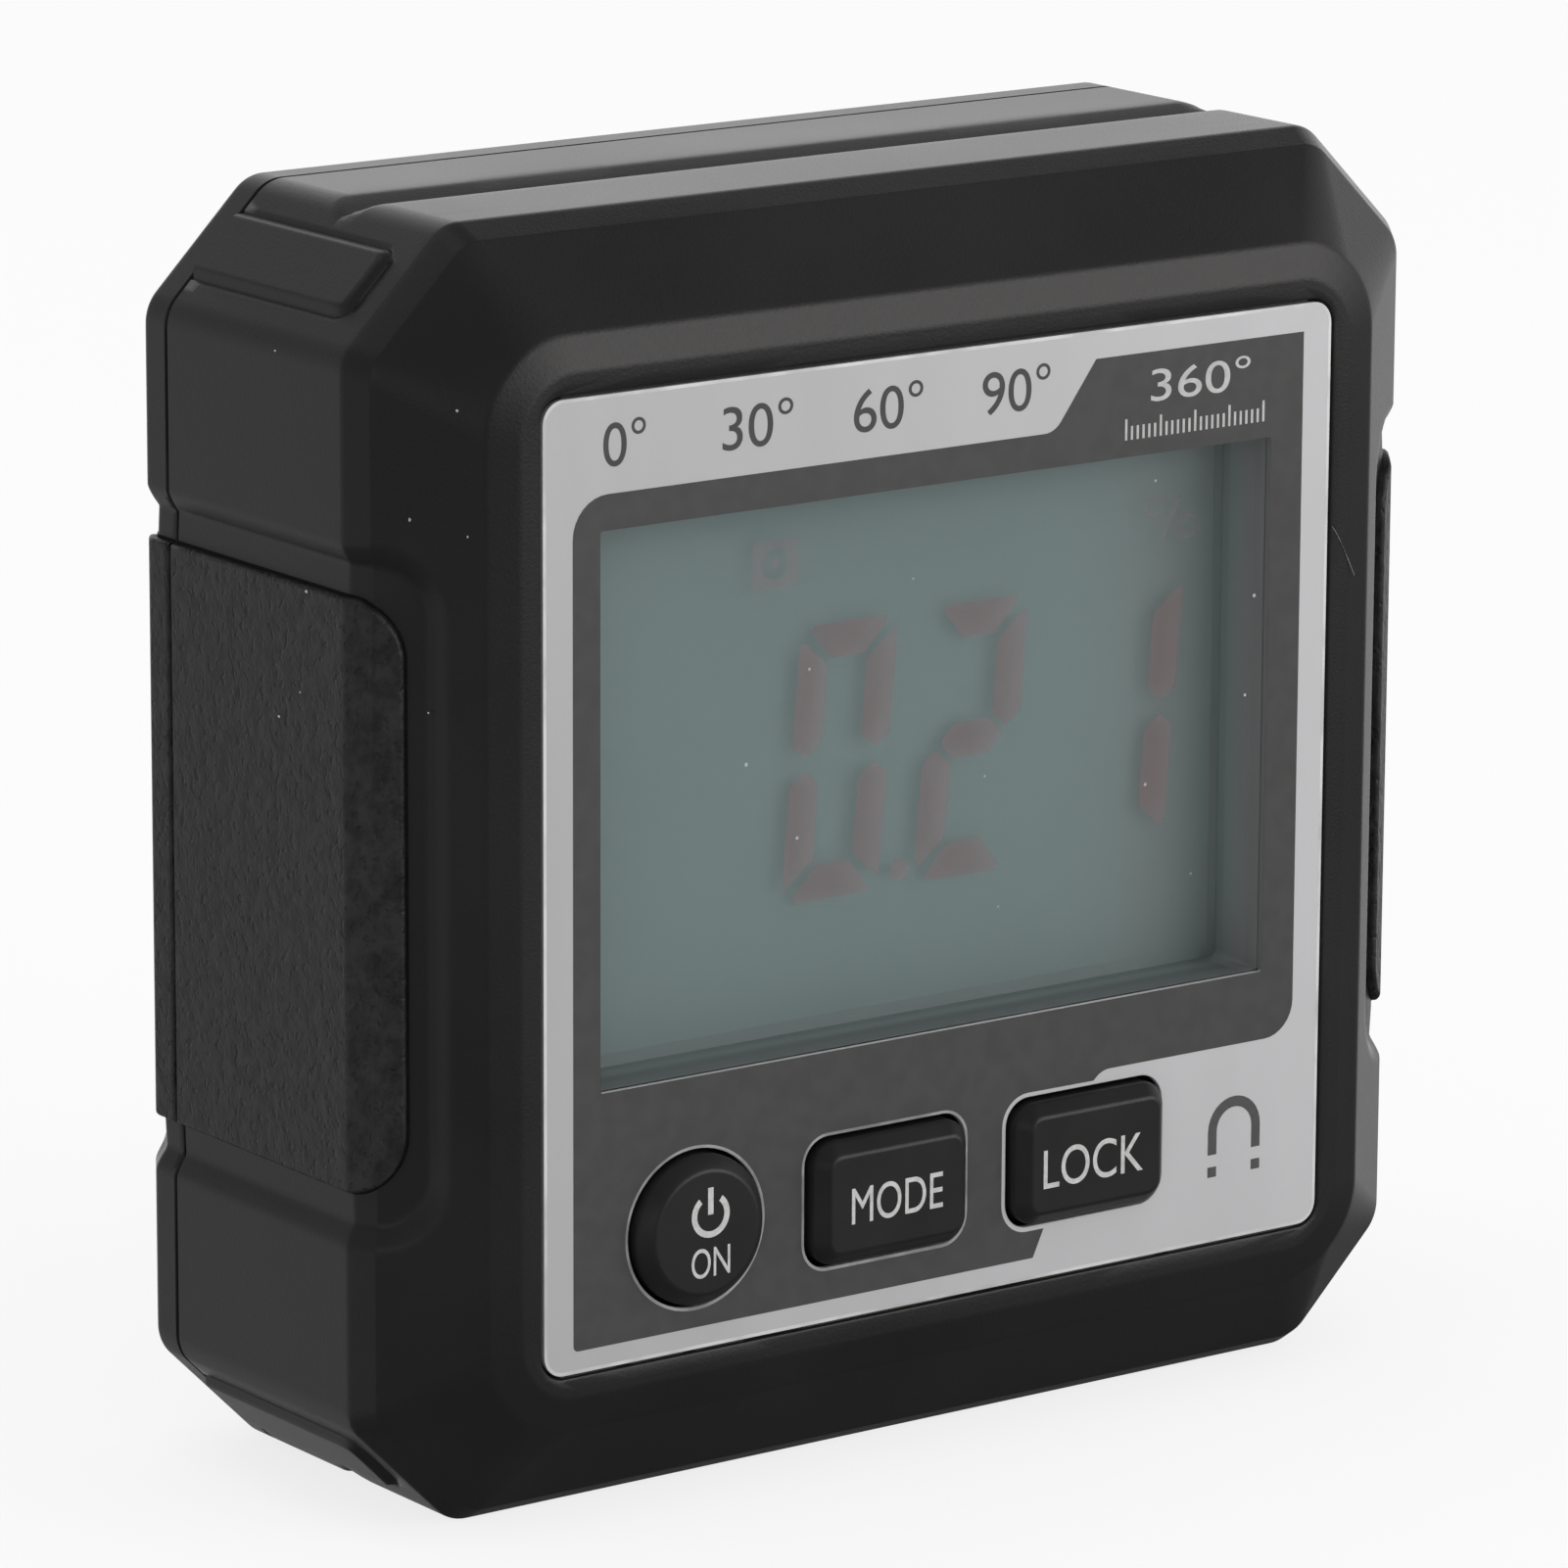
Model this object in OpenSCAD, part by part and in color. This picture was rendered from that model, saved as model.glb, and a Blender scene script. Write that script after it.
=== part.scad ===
// Digital angle gauge: a square level box with a display, three push buttons,
// side grips, a grooved magnetic base and a battery bay behind a sliding door.
// Millimetres. X runs to the right, Y to the back, Z up, and the base stands on z = 0.

/* [Case] */
// Width of the case
body_w = 60; // [58:1:80]
// Height of the case
body_h = 60; // [58:1:80]
// Depth from the front face to the back face
body_d = 24; // [24:0.5:36]
// Legs of the 45 degree corner chamfers
corner_cut = 5.5; // [4:0.5:8]
// Rounding of the edges between sides and corner chamfers
corner_r = 2; // [1:0.5:3]
// Width of the front bevel, seen from the front
front_bevel_w = 5.3; // [4:0.1:6.5]
// Depth at which the front bevel meets the edge facet
front_bevel_d = 3.49; // [2.5:0.1:4.5]
// Width of the narrow facet between bevel and side, seen from the front
facet_w = 0.73; // [0.3:0.05:1.2]
// Depth of that facet
facet_d = 1.18; // [0.6:0.05:1.8]
// Distance from the back face to the end of the side faces
rear_bevel_d = 3.2; // [2.6:0.1:4]
// Rounding where the front face turns into the bevel
crown_r = 3; // [1:0.5:5]
// Wall of the shells
wall = 2.4; // [2:0.1:2.8]
// Wall at the top and at the base, which holds the groove and the magnets
base_wall = 3.2; // [3:0.1:4]
// Depth of the back cover, from the seam to the back face
cover_d = 4.94; // [4.4:0.1:6]
// Width of the shadow line along the seam
seam_w = 0.45; // [0.2:0.05:0.8]
// Depth of the shadow line along the seam
seam_step = 0.4; // [0.2:0.05:0.6]
// How far the lip of the cover reaches into the housing
lip_d = 1.5; // [1:0.1:2.5]
// Thickness of that lip
lip_t = 1.2; // [0.8:0.1:1.6]

/* [Corner bumpers] */
// Width of a bumper across its chamfer
bumper_w = 3.6; // [2:0.1:4.5]
// How far a bumper stands out of its chamfer
bumper_h = 0.55; // [0.2:0.05:1]
// Distance from the front face to the nose of a bumper
bumper_nose = 6.6; // [5.5:0.1:9]

/* [Base and top] */
// Width of the V-grooves along the top and the base
groove_w = 2.8; // [2:0.1:4]
// Diameter of the base magnets
magnet_d = 5; // [3:0.1:5.2]
// Length of the base magnets
magnet_l = 2.4; // [1.5:0.1:2.5]
// Distance between the left and right magnets
magnet_pitch = 36; // [20:1:40]
// Distance of the rear magnets from the seam
magnet_edge = 0.33; // [0.2:0.01:0.6]
// How far the magnets lie back from the base
magnet_drop = 0.15; // [0.1:0.05:0.3]

/* [Side grips] */
// Height of the grip pads
grip_h = 27.2; // [20:0.2:32]
// How far the pads wrap over the bevels, measured from the side
grip_wrap = 1.86; // [1:0.05:2.5]
// Thickness of the pads and depth of their recess
grip_t = 0.7; // [0.4:0.05:1]
// Width of the moat round the pads
grip_moat = 1.5; // [0.5:0.1:2.2]
// Rounding of the pad corners
grip_r = 1.8; // [0.5:0.1:2.5]

/* [Front label and display] */
// Flat margin between the bevel and the label
label_margin = 2.25; // [1:0.05:4]
// Thickness of the label
label_t = 0.3; // [0.2:0.05:0.5]
// Depth of the recess that the label lies in
label_recess = 0.35; // [0.3:0.05:0.6]
// Rounding of the label corners
label_r = 1.1; // [0.5:0.1:3]
// Label border left of the window
window_left = 3.05; // [2:0.05:5]
// Label border right of the window
window_right = 3.5; // [2:0.05:5]
// Label border above the window
window_above = 6.15; // [3:0.05:8]
// Label border below the window, where the buttons are
window_below = 12.9; // [12.5:0.05:15]
// Overlap of the clear pane behind the label
pane_lap = 1.2; // [0.8:0.1:1.6]
// Thickness of the clear pane
pane_t = 1; // [0.8:0.1:1.4]
// Overlap of the display behind the window
lcd_lap = 2; // [1:0.1:2.2]
// Thickness of the display glass
lcd_t = 2.2; // [1.6:0.1:2.6]
// Width of the bars of the display frame
lcd_frame_bar = 1.8; // [1:0.1:3]
// Width of the elastomer strip under the display
lcd_strip_w = 1.8; // [1:0.1:2.2]

/* [Buttons] */
// Height of the button row above the lower edge of the label
button_row = 5.75; // [5.3:0.05:6]
// Distance from the left edge of the label to the middle of the round power button
power_in = 8.35; // [7:0.05:10]
// Diameter of the round power button
power_d = 7.1; // [5:0.1:7.6]
// Space between neighbouring buttons
key_space = 2.8; // [2.4:0.1:4]
// Width of the two oblong buttons
key_w = 8.85; // [6:0.05:9.2]
// Height of the two oblong buttons
key_h = 5.9; // [4:0.1:6.6]
// Rounding of the oblong buttons
key_r = 1.1; // [0.8:0.1:2]
// How far the buttons stand out of the front face
button_proud = 0.95; // [0.8:0.05:1.4]
// Chamfer round the top of the buttons
button_chamfer = 0.7; // [0.3:0.05:0.75]
// Gap between a button and its hole
button_gap = 0.2; // [0.1:0.05:0.3]
// Travel of the buttons
button_travel = 0.4; // [0.2:0.05:0.6]
// Width and thickness of the flange that keeps a button in
flange = 0.8; // [0.5:0.05:0.9]
// Diameter of the stem that works the switch
stem_d = 3; // [2:0.1:4]

/* [Electronics] */
// Room between the parts on the circuit board and the battery bay
chip_room = 0.6; // [0.3:0.1:1]
// Thickness of the circuit board
board_t = 1.2; // [0.8:0.1:1.3]
// Gap between the circuit board and the walls
board_gap = 2; // [1:0.1:3]
// Width and height of a tact switch
switch_w = 4.5; // [3:0.1:6]
// Height of a tact switch body
switch_t = 0.8; // [0.6:0.05:1.6]
// Diameter of the switch plunger
plunger_d = 2.2; // [1.5:0.1:3]
// How far the plunger stands out of the switch
plunger_l = 0.25; // [0.2:0.05:0.5]
// Side of the controller chip
controller_w = 10; // [6:0.5:14]
// Side of the tilt sensor
sensor_w = 4; // [3:0.5:6]
// Thickness of the chips
chip_t = 1.2; // [0.6:0.1:1.3]

/* [Batteries] */
// Diameter of a cell
cell_d = 10.5; // [8:0.1:10.6]
// Length of a cell with its button
cell_l = 44.5; // [30:0.1:44.6]
// Diameter of the button of a cell
cell_button_d = 3.8; // [3:0.1:5]
// Length of the button of a cell
cell_button_l = 0.9; // [0.6:0.1:1.2]
// Gap round and between the cells
cell_gap = 0.4; // [0.2:0.05:0.6]
// Room for the contacts at each end of the cells
contact_room = 1.5; // [1.2:0.1:1.6]
// Thickness of the contact plates
contact_t = 0.4; // [0.3:0.05:0.5]
// Width of the sprung tongue of a contact
contact_w = 3; // [2:0.1:5]
// Wall of the battery bay
bay_wall = 1.2; // [0.8:0.1:1.3]
// Thickness of the battery door
door_t = 1.4; // [1.2:0.05:1.5]
// Width of the tongues along the door
tongue_w = 0.9; // [0.6:0.05:1.2]
// Thickness of the tongues along the door
tongue_t = 0.7; // [0.5:0.05:0.8]
// Gap between the door and its channel
door_gap = 0.1; // [0.05:0.05:0.15]
// Number of thumb ridges on the door
ridge_count = 5; // [3:1:7]
// Pitch of the thumb ridges
ridge_pitch = 1.8; // [1.4:0.1:2.5]
// Depth of the cuts between the thumb ridges
ridge_depth = 0.4; // [0.2:0.05:0.6]

/* [Screws] */
// Distance of the case screws from the sides of the case
screw_inset = 8.5; // [8:0.1:9.2]
// Diameter of the case screws
screw_d = 2; // [1.6:0.1:2.2]
// Diameter of the screw heads
screw_head_d = 4; // [3.4:0.1:4.4]
// Height of the screw heads
screw_head_h = 1.5; // [1:0.1:1.8]
// Length of the case screws under the head
screw_l = 10; // [6:0.5:12]
// Diameter of the bosses in the housing
boss_d = 5.2; // [4.4:0.1:5.6]
// Distance of the board screws from the sides of the case
board_screw_inset = 6; // [5.6:0.1:6.2]
// Diameter of the board screws
board_screw_d = 1.6; // [1.2:0.1:1.8]
// Length of the board screws under the head
board_screw_l = 4; // [3:0.5:5]
// Gap round a screw in its hole
screw_gap = 0.1; // [0.05:0.05:0.2]

/* [Hidden] */

$fn = 48;
arc_steps = 3;
sink = 0.5;
fit_gap = 0.15;
play = 0.1;
reach = body_w + body_h + body_d;

// The case: depths are measured from the front face
front_y = (button_proud - body_d) / 2;
mid_z = body_h / 2;
side_front_y = front_bevel_d + facet_d;
side_rear_y = body_d - rear_bevel_d;
rear_facet_y = side_rear_y + facet_d;
rear_bevel_w = facet_w + (body_d - rear_facet_y) * (front_bevel_w - facet_w) / front_bevel_d;
corner_half = (body_w / 2 + body_h / 2 - corner_cut) / sqrt(2);
seam_y = body_d - cover_d;
rim_y = seam_y + lip_t;
groove_y = body_d / 2;

// The label, the window and what lies behind them
label_w = body_w - 2 * (front_bevel_w + label_margin);
label_h = body_h - 2 * (front_bevel_w + label_margin);
label_y = label_recess - label_t;
window_w = label_w - window_left - window_right;
window_h = label_h - window_above - window_below;
window_x = (window_left - window_right) / 2;
window_z = mid_z + (window_below - window_above) / 2;
lcd_back = wall + lcd_t;
lcd_w = window_w + 2 * lcd_lap;
lcd_h = window_h + 2 * lcd_lap;
button_z = mid_z - label_h / 2 + button_row;
power_x = power_in - label_w / 2;
unit_x = power_x + power_d / 2 + key_space + key_w / 2;
hold_x = unit_x + key_w + key_space;
board_hw = body_w / 2 - wall - board_gap;
board_hh = mid_z - base_wall - board_gap;

// The battery bay and its door
door_y = body_d - door_t;
door_seat = door_y - door_gap;
bay_w = 2 * cell_d + 3 * cell_gap;
bay_h = cell_l + 2 * contact_room + play;
bay_floor = door_seat - cell_d - cell_gap * 1.5;
cell_x = (cell_d + cell_gap) / 2;
cell_y = bay_floor + cell_gap / 2 + cell_d / 2;
cell_z = mid_z - cell_l / 2;
door_w = bay_w + 2 * bay_wall - 2 * door_gap;
door_z = mid_z - bay_h / 2 - bay_wall / 2;

// The board hangs in front of the bay, and the buttons reach to its switches
board_back = bay_floor - bay_wall - chip_room - chip_t;
board_y = board_back - board_t;
switch_y = board_y - switch_t;
stem_end = switch_y - plunger_l - button_travel - play;

// The screws
screw_x = body_w / 2 - screw_inset;
screw_z = mid_z - screw_inset;
boss_end = seam_y - sink;
head_seat = boss_end + lip_t;
post_d = screw_head_d + 2 * lip_t;
board_screw_x = body_w / 2 - board_screw_inset;
board_head_d = 2 * board_screw_d;
corner_clear = screw_inset + boss_d / 2 + fit_gap * 2;

function unit(v) = v / norm(v);

function turned_out(a, b) = unit([b[1] - a[1], a[0] - b[0]]);

// A closed outline moved inwards by t
function inset(points, t) = [
    for (i = [0 : len(points) - 1])
        let (a = points[(i + len(points) - 1) % len(points)])
        let (b = points[i])
        let (c = points[(i + 1) % len(points)])
        let (m = turned_out(a, b))
        let (n = turned_out(b, c))
        b - t * (m + n) / (1 + m * n)
];

// The arc that rounds corner b between a and c
function round_corner(a, b, c, r) =
    let (u = unit(a - b))
    let (v = unit(c - b))
    let (half = acos(u * v) / 2)
    let (centre = b + unit(u + v) * r / sin(half))
    let (start = b + u * r / tan(half) - centre)
    let (finish = b + v * r / tan(half) - centre)
    [for (i = [0 : arc_steps]) centre + r * unit(start * (arc_steps - i) + finish * i)];

function mirrored(points) = [
    for (i = [len(points) - 1 : -1 : 0]) [-points[i][0], points[i][1]]
];

// Section through the case from front to back, at a side that lies half away from the middle
function side_corners(half) =
    let (right = [
        [half - front_bevel_w, 0],
        [half - facet_w, front_bevel_d],
        [half, side_front_y],
        [half, side_rear_y],
        [half - facet_w, rear_facet_y],
        [half - rear_bevel_w, body_d]
    ])
    concat(right, mirrored(right));

// That section set in by t, with the front face rounded into the bevels
function side_profile(half, t) =
    let (p = inset(side_corners(half), t))
    let (last = len(p) - 1)
    let (r = crown_r - t)
    r <= 0 ? p : concat(
        round_corner(p[last], p[0], p[1], r),
        [for (i = [1 : last - 1]) p[i]],
        round_corner(p[last - 1], p[last], p[0], r)
    );

// Front outline of the case, a rectangle with chamfered corners, set in by t and softened
function case_outline(t) =
    let (hw = body_w / 2)
    let (hh = body_h / 2)
    let (p = inset([
        [hw, corner_cut - hh], [hw, hh - corner_cut], [hw - corner_cut, hh], [corner_cut - hw, hh],
        [-hw, hh - corner_cut], [-hw, corner_cut - hh], [corner_cut - hw, -hh], [hw - corner_cut, -hh]
    ], t))
    let (r = corner_r - t)
    r <= 0 ? p : [for (i = [0 : 7]) each round_corner(p[(i + 7) % 8], p[i], p[(i + 1) % 8], r)];

function half_at(turn) = turn == 0 ? body_w / 2 : turn == 90 ? body_h / 2 : corner_half;

// Moves a piece from depths behind the front face into the part's frame
module seated() {
    translate([0, front_y, 0]) children();
}

// Extrudes an outline in x and z from one depth to another
module panel(from, to) {
    translate([0, to, 0]) rotate([90, 0, 0]) linear_extrude(to - from) children();
}

// Round bar along the depth
module bar(x, z, from, to, d) {
    translate([x, from, z]) rotate([-90, 0, 0]) cylinder(d = d, h = to - from);
}

module box(x, y, z) {
    translate([x[0], y[0], z[0]]) cube([x[1] - x[0], y[1] - y[0], z[1] - z[0]]);
}

module slab(from, to) {
    box([-reach, reach], [from, to], [-reach, reach]);
}

module rounded_rect(w, h, r) {
    square([w - 2 * r, h], center = true);
    square([w, h - 2 * r], center = true);
    for (x = [-1, 1], z = [-1, 1])
        translate([x * (w / 2 - r), z * (h / 2 - r)]) circle(r);
}

// The whole outer form of the case, set in by t
module block(t) {
    intersection() {
        intersection_for (turn = [0, 45, 90, 135])
            translate([0, 0, mid_z]) rotate([0, turn, 0]) translate([0, 0, -reach])
                linear_extrude(2 * reach) polygon(side_profile(half_at(turn), t));
        panel(-reach, reach) translate([0, mid_z]) polygon(case_outline(t));
    }
}

// The room inside the shells
module room() {
    intersection() {
        block(wall);
        box([-reach, reach], [-reach, reach], [base_wall, body_h - base_wall]);
    }
}

// A straight plug that fits the open end of the housing, set in by t
module plug(t, from, to) {
    intersection() {
        panel(from, to) translate([0, mid_z]) polygon(case_outline(wall + t));
        box([-reach, reach], [-reach, reach], [base_wall + t, body_h - base_wall - t]);
    }
}

module at_screws() {
    for (x = [-screw_x, screw_x], z = [mid_z - screw_z, mid_z + screw_z])
        translate([x, 0, z]) children();
}

module at_board_screws() {
    for (x = [-board_screw_x, board_screw_x])
        translate([x, 0, mid_z]) children();
}

// The field of a grip on the left side, grown by more, through the whole depth
module grip_field(more) {
    w = 2 * (grip_wrap + more);
    panel(-reach, reach) translate([-body_w / 2, mid_z])
        rounded_rect(w, grip_h + 2 * more, min(grip_r + more / 2, w / 2 - sink));
}

module grip_recesses() {
    difference() {
        union() {
            grip_field(grip_moat);
            mirror([1, 0, 0]) grip_field(grip_moat);
        }
        block(grip_t);
    }
}

module grip_pad(from, to) {
    color("#2f2f30") seated() intersection() {
        grip_field(0);
        slab(from, to);
        difference() {
            block(0);
            block(grip_t);
        }
    }
}

// One raised bumper on the chamfer that faces turn degrees
module bumper(turn) {
    slope = bumper_h;
    top = corner_half + bumper_h;
    translate([0, 0, mid_z]) rotate([0, turn, 0]) intersection() {
        translate([0, 0, -bumper_w / 2]) linear_extrude(bumper_w)
            polygon([
                [corner_half - sink, bumper_nose], [corner_half, bumper_nose], [top, bumper_nose + 2 * slope],
                [top, seam_y], [corner_half - sink, seam_y]
            ]);
        panel(0, seam_y) polygon([
            [corner_half - sink, -bumper_w / 2], [corner_half, -bumper_w / 2], [top, slope - bumper_w / 2],
            [top, bumper_w / 2 - slope], [corner_half, bumper_w / 2], [corner_half - sink, bumper_w / 2]
        ]);
    }
}

module grooves() {
    for (z = [0, body_h])
        translate([0, groove_y, z]) rotate([45, 0, 0])
            cube([2 * reach, groove_w / sqrt(2), groove_w / sqrt(2)], center = true);
}

// Outlines of the button holes, grown by more over the buttons
module key_outlines(more) {
    translate([power_x, button_z]) circle(d = power_d + 2 * more);
    for (x = [unit_x, hold_x])
        translate([x, button_z]) rounded_rect(key_w + 2 * more, key_h + 2 * more, key_r + more);
}

module window_outline(more) {
    translate([window_x, window_z]) square([window_w + 2 * more, window_h + 2 * more], center = true);
}

// Centre of a magnet: side is -1 or 1, row is 0 in front of the groove and 1 behind it
function magnet_place(side, row) =
    let (front_row = (side_front_y + groove_y - groove_w / 2) / 2)
    let (rear_row = seam_y - magnet_edge - magnet_d / 2)
    [side * magnet_pitch / 2, row == 0 ? front_row : rear_row, magnet_drop];

// The outside of the battery bay, grown by more
module bay_block(more, to) {
    box(
        [-bay_w / 2 - bay_wall - more, bay_w / 2 + bay_wall + more],
        [bay_floor - bay_wall - more, to],
        [mid_z - bay_h / 2 - bay_wall - more, mid_z + bay_h / 2 + bay_wall + more]
    );
}

module magnet_pockets() {
    for (side = [-1, 1], row = [0, 1])
        translate(magnet_place(side, row) - [0, 0, 2 * magnet_drop])
            cylinder(d = magnet_d + 2 * screw_gap, h = magnet_l + 2 * magnet_drop);
}

module front_housing() {
    color("#262627") seated() difference() {
        union() {
            difference() {
                intersection() {
                    block(0);
                    slab(-sink, seam_y);
                }
                room();
            }
            for (turn = [45 : 90 : 315]) bumper(turn);
            at_screws() bar(0, 0, wall - sink, boss_end, boss_d);
            at_board_screws() bar(0, 0, wall - sink, board_y, board_head_d + fit_gap);
        }
        at_screws() bar(0, 0, head_seat - screw_l - sink, seam_y, screw_d + 2 * screw_gap);
        at_board_screws() bar(0, 0, board_back - board_screw_l - fit_gap, seam_y, board_screw_d + 2 * screw_gap);
        panel(-sink, label_recess) translate([0, mid_z])
            rounded_rect(label_w + 2 * fit_gap, label_h + 2 * fit_gap, label_r + fit_gap);
        panel(0, label_recess + pane_t) window_outline(pane_lap + fit_gap);
        panel(0, wall + sink) window_outline(0);
        panel(0, wall + sink) key_outlines(button_gap);
        bay_block(fit_gap, body_d);
        grooves();
        grip_recesses();
        magnet_pockets();
    }
}

module back_cover() {
    color("#262627") seated() difference() {
        union() {
            difference() {
                union() {
                    intersection() {
                        block(0);
                        slab(seam_y + seam_w, body_d + sink);
                    }
                    intersection() {
                        block(seam_step);
                        slab(seam_y, body_d - wall);
                    }
                    plug(fit_gap, seam_y - lip_d, rim_y);
                }
                plug(fit_gap + lip_t, seam_y - lip_d - sink, rim_y + sink);
                intersection() {
                    room();
                    slab(rim_y, body_d - wall + sink);
                }
            }
            bay_block(0, body_d - wall + sink);
            at_screws() bar(0, 0, boss_end, body_d - wall + sink, post_d);
        }
        box([-bay_w / 2, bay_w / 2], [bay_floor, body_d + sink], [mid_z - bay_h / 2, mid_z + bay_h / 2]);
        box(
            [-door_w / 2 - door_gap, door_w / 2 + door_gap],
            [door_seat, body_d + sink],
            [door_z - door_gap, body_h + sink]
        );
        box(
            [-door_w / 2 - tongue_w - door_gap, door_w / 2 + tongue_w + door_gap],
            [door_seat, door_y + tongue_t + door_gap],
            [door_z - door_gap, body_h + sink]
        );
        at_screws() {
            bar(0, 0, boss_end - sink, body_d + sink, screw_d + 2 * fit_gap);
            bar(0, 0, head_seat, body_d + sink, screw_head_d + 2 * fit_gap);
        }
        grip_recesses();
    }
}

module battery_door() {
    ridge_z = door_z + 0.8 * bay_h;
    color("#2b2b2c") seated() difference() {
        intersection() {
            block(0);
            union() {
                box([-door_w / 2, door_w / 2], [door_y, body_d], [door_z, body_h]);
                box(
                    [-door_w / 2 - tongue_w, door_w / 2 + tongue_w],
                    [door_y, door_y + tongue_t],
                    [door_z, body_h]
                );
            }
        }
        for (i = [0 : ridge_count - 1])
            box(
                [-door_w / 4, door_w / 4],
                [body_d - ridge_depth, body_d + sink],
                [ridge_z - i * ridge_pitch, ridge_z - i * ridge_pitch + ridge_pitch / 2]
            );
    }
}

module front_label() {
    color("#b9bbbc") seated() panel(label_y, label_recess) difference() {
        translate([0, mid_z]) rounded_rect(label_w, label_h, label_r);
        window_outline(0);
        key_outlines(button_gap);
    }
}

module display_window() {
    color("#9fb0ae", 0.5) seated() panel(label_recess, label_recess + pane_t) window_outline(pane_lap);
}

module lcd_panel() {
    color("#6b7d79") seated() panel(wall, lcd_back) window_outline(lcd_lap);
}

module lcd_frame() {
    color("#e4e4e0") seated() panel(lcd_back, board_y) difference() {
        window_outline(lcd_lap);
        window_outline(lcd_lap - lcd_frame_bar);
        translate([window_x, window_z - lcd_h / 2])
            square([lcd_w + sink, 2 * (lcd_strip_w + fit_gap)], center = true);
    }
}

module lcd_connector() {
    color("#d79aa8") seated() panel(lcd_back, board_y)
        translate([window_x - window_w / 2, window_z - lcd_h / 2]) square([window_w, lcd_strip_w]);
}

// Stem that works the switch of a button
module stem(x) {
    bar(x, button_z, wall + flange, stem_end, stem_d);
}

module button_power() {
    r = power_d / 2;
    color("#1d1d1e") seated() {
        translate([power_x, 0, button_z]) rotate([-90, 0, 0]) rotate_extrude() polygon([
            [0, -button_proud], [r - button_chamfer, -button_proud], [r, button_chamfer - button_proud],
            [r, wall], [r + flange, wall], [r + flange, wall + flange], [0, wall + flange]
        ]);
        stem(power_x);
    }
}

module oblong_button(x) {
    edge = button_chamfer - button_proud;
    color("#1d1d1e") seated() {
        hull() {
            panel(-button_proud, edge) translate([x, button_z])
                rounded_rect(key_w - 2 * button_chamfer, key_h - 2 * button_chamfer, key_r / 2, $fn = 32);
            panel(edge, edge + fit_gap) translate([x, button_z]) rounded_rect(key_w, key_h, key_r, $fn = 32);
        }
        panel(edge + fit_gap, wall) translate([x, button_z]) rounded_rect(key_w, key_h, key_r);
        panel(wall, wall + flange) translate([x, button_z])
            rounded_rect(key_w + 2 * flange, key_h + 2 * flange, key_r + flange);
        stem(x);
    }
}

module button_unit() {
    oblong_button(unit_x);
}

module button_hold() {
    oblong_button(hold_x);
}

module tact_switch(x) {
    color("#3a3a3c") seated() {
        panel(switch_y, board_y) translate([x, button_z]) square(switch_w, center = true);
        bar(x, button_z, switch_y - plunger_l, switch_y, plunger_d);
    }
}

module switch_power() {
    tact_switch(power_x);
}

module switch_unit() {
    tact_switch(unit_x);
}

module switch_hold() {
    tact_switch(hold_x);
}

// Board cut back at the corners for the case bosses
module circuit_board() {
    color("#1f6b45") seated() difference() {
        panel(board_y, board_back) translate([0, mid_z]) square([2 * board_hw, 2 * board_hh], center = true);
        for (x = [-1, 1], z = [-1, 1])
            panel(board_y - sink, board_back + sink)
                translate([x * (body_w / 2), mid_z + z * mid_z]) square(2 * corner_clear, center = true);
        at_board_screws() bar(0, 0, board_y - sink, board_back + sink, board_screw_d + 2 * fit_gap);
    }
}

module chip(x, z, w) {
    color("#202022") seated() panel(board_back, board_back + chip_t)
        translate([x, z]) square(w, center = true);
}

module controller_chip() {
    chip(0, mid_z, controller_w);
}

module tilt_sensor() {
    chip(0, mid_z - controller_w - sensor_w, sensor_w);
}

// A cell standing on its flat end, or on its button where up is false
module cell(x, up) {
    color(up ? "#7d8a3c" : "#6f7c35") seated() translate([x, cell_y, mid_z])
        rotate([up ? 0 : 180, 0, 0]) rotate_extrude() polygon([
            [0, -cell_l / 2], [cell_d / 2, -cell_l / 2], [cell_d / 2, cell_l / 2 - cell_button_l],
            [cell_button_d / 2, cell_l / 2 - cell_button_l], [cell_button_d / 2, cell_l / 2], [0, cell_l / 2]
        ]);
}

module cell_left() {
    cell(-cell_x, true);
}

module cell_right() {
    cell(cell_x, false);
}

// Contact plate with a sprung tongue bent towards the cell
module contact(x, end) {
    lift = contact_room - contact_t;
    w = cell_d / 2 - cell_gap;
    translate([x, cell_y, mid_z]) mirror([0, 0, end]) translate([0, 0, -bay_h / 2]) {
        box([-w, w], [-w, w], [0, contact_t]);
        translate([0, contact_w / 2, 0]) rotate([90, 0, 0]) linear_extrude(contact_w) polygon([
            [-w / 2, contact_t], [0, contact_t + lift], [w / 2, contact_t],
            [w / 2 - contact_t, contact_t], [0, lift], [contact_t - w / 2, contact_t]
        ]);
    }
}

module contact_bridge() {
    color("#c9cacc") seated() {
        contact(-cell_x, 0);
        contact(cell_x, 0);
        box(
            [-cell_x, cell_x],
            [cell_y - contact_w, cell_y + contact_w],
            [mid_z - bay_h / 2, mid_z - bay_h / 2 + contact_t]
        );
    }
}

module contact_plus() {
    color("#c9cacc") seated() contact(-cell_x, 1);
}

module contact_minus() {
    color("#c9cacc") seated() contact(cell_x, 1);
}

module magnet(side, row) {
    color("#9a9da0") seated() translate(magnet_place(side, row)) cylinder(d = magnet_d, h = magnet_l);
}

module grip_left_front() {
    grip_pad(-sink, seam_y);
}

module grip_left_rear() {
    grip_pad(seam_y + fit_gap, body_d + sink);
}

module grip_right_front() {
    mirror([1, 0, 0]) grip_left_front();
}

module grip_right_rear() {
    mirror([1, 0, 0]) grip_left_rear();
}

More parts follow.
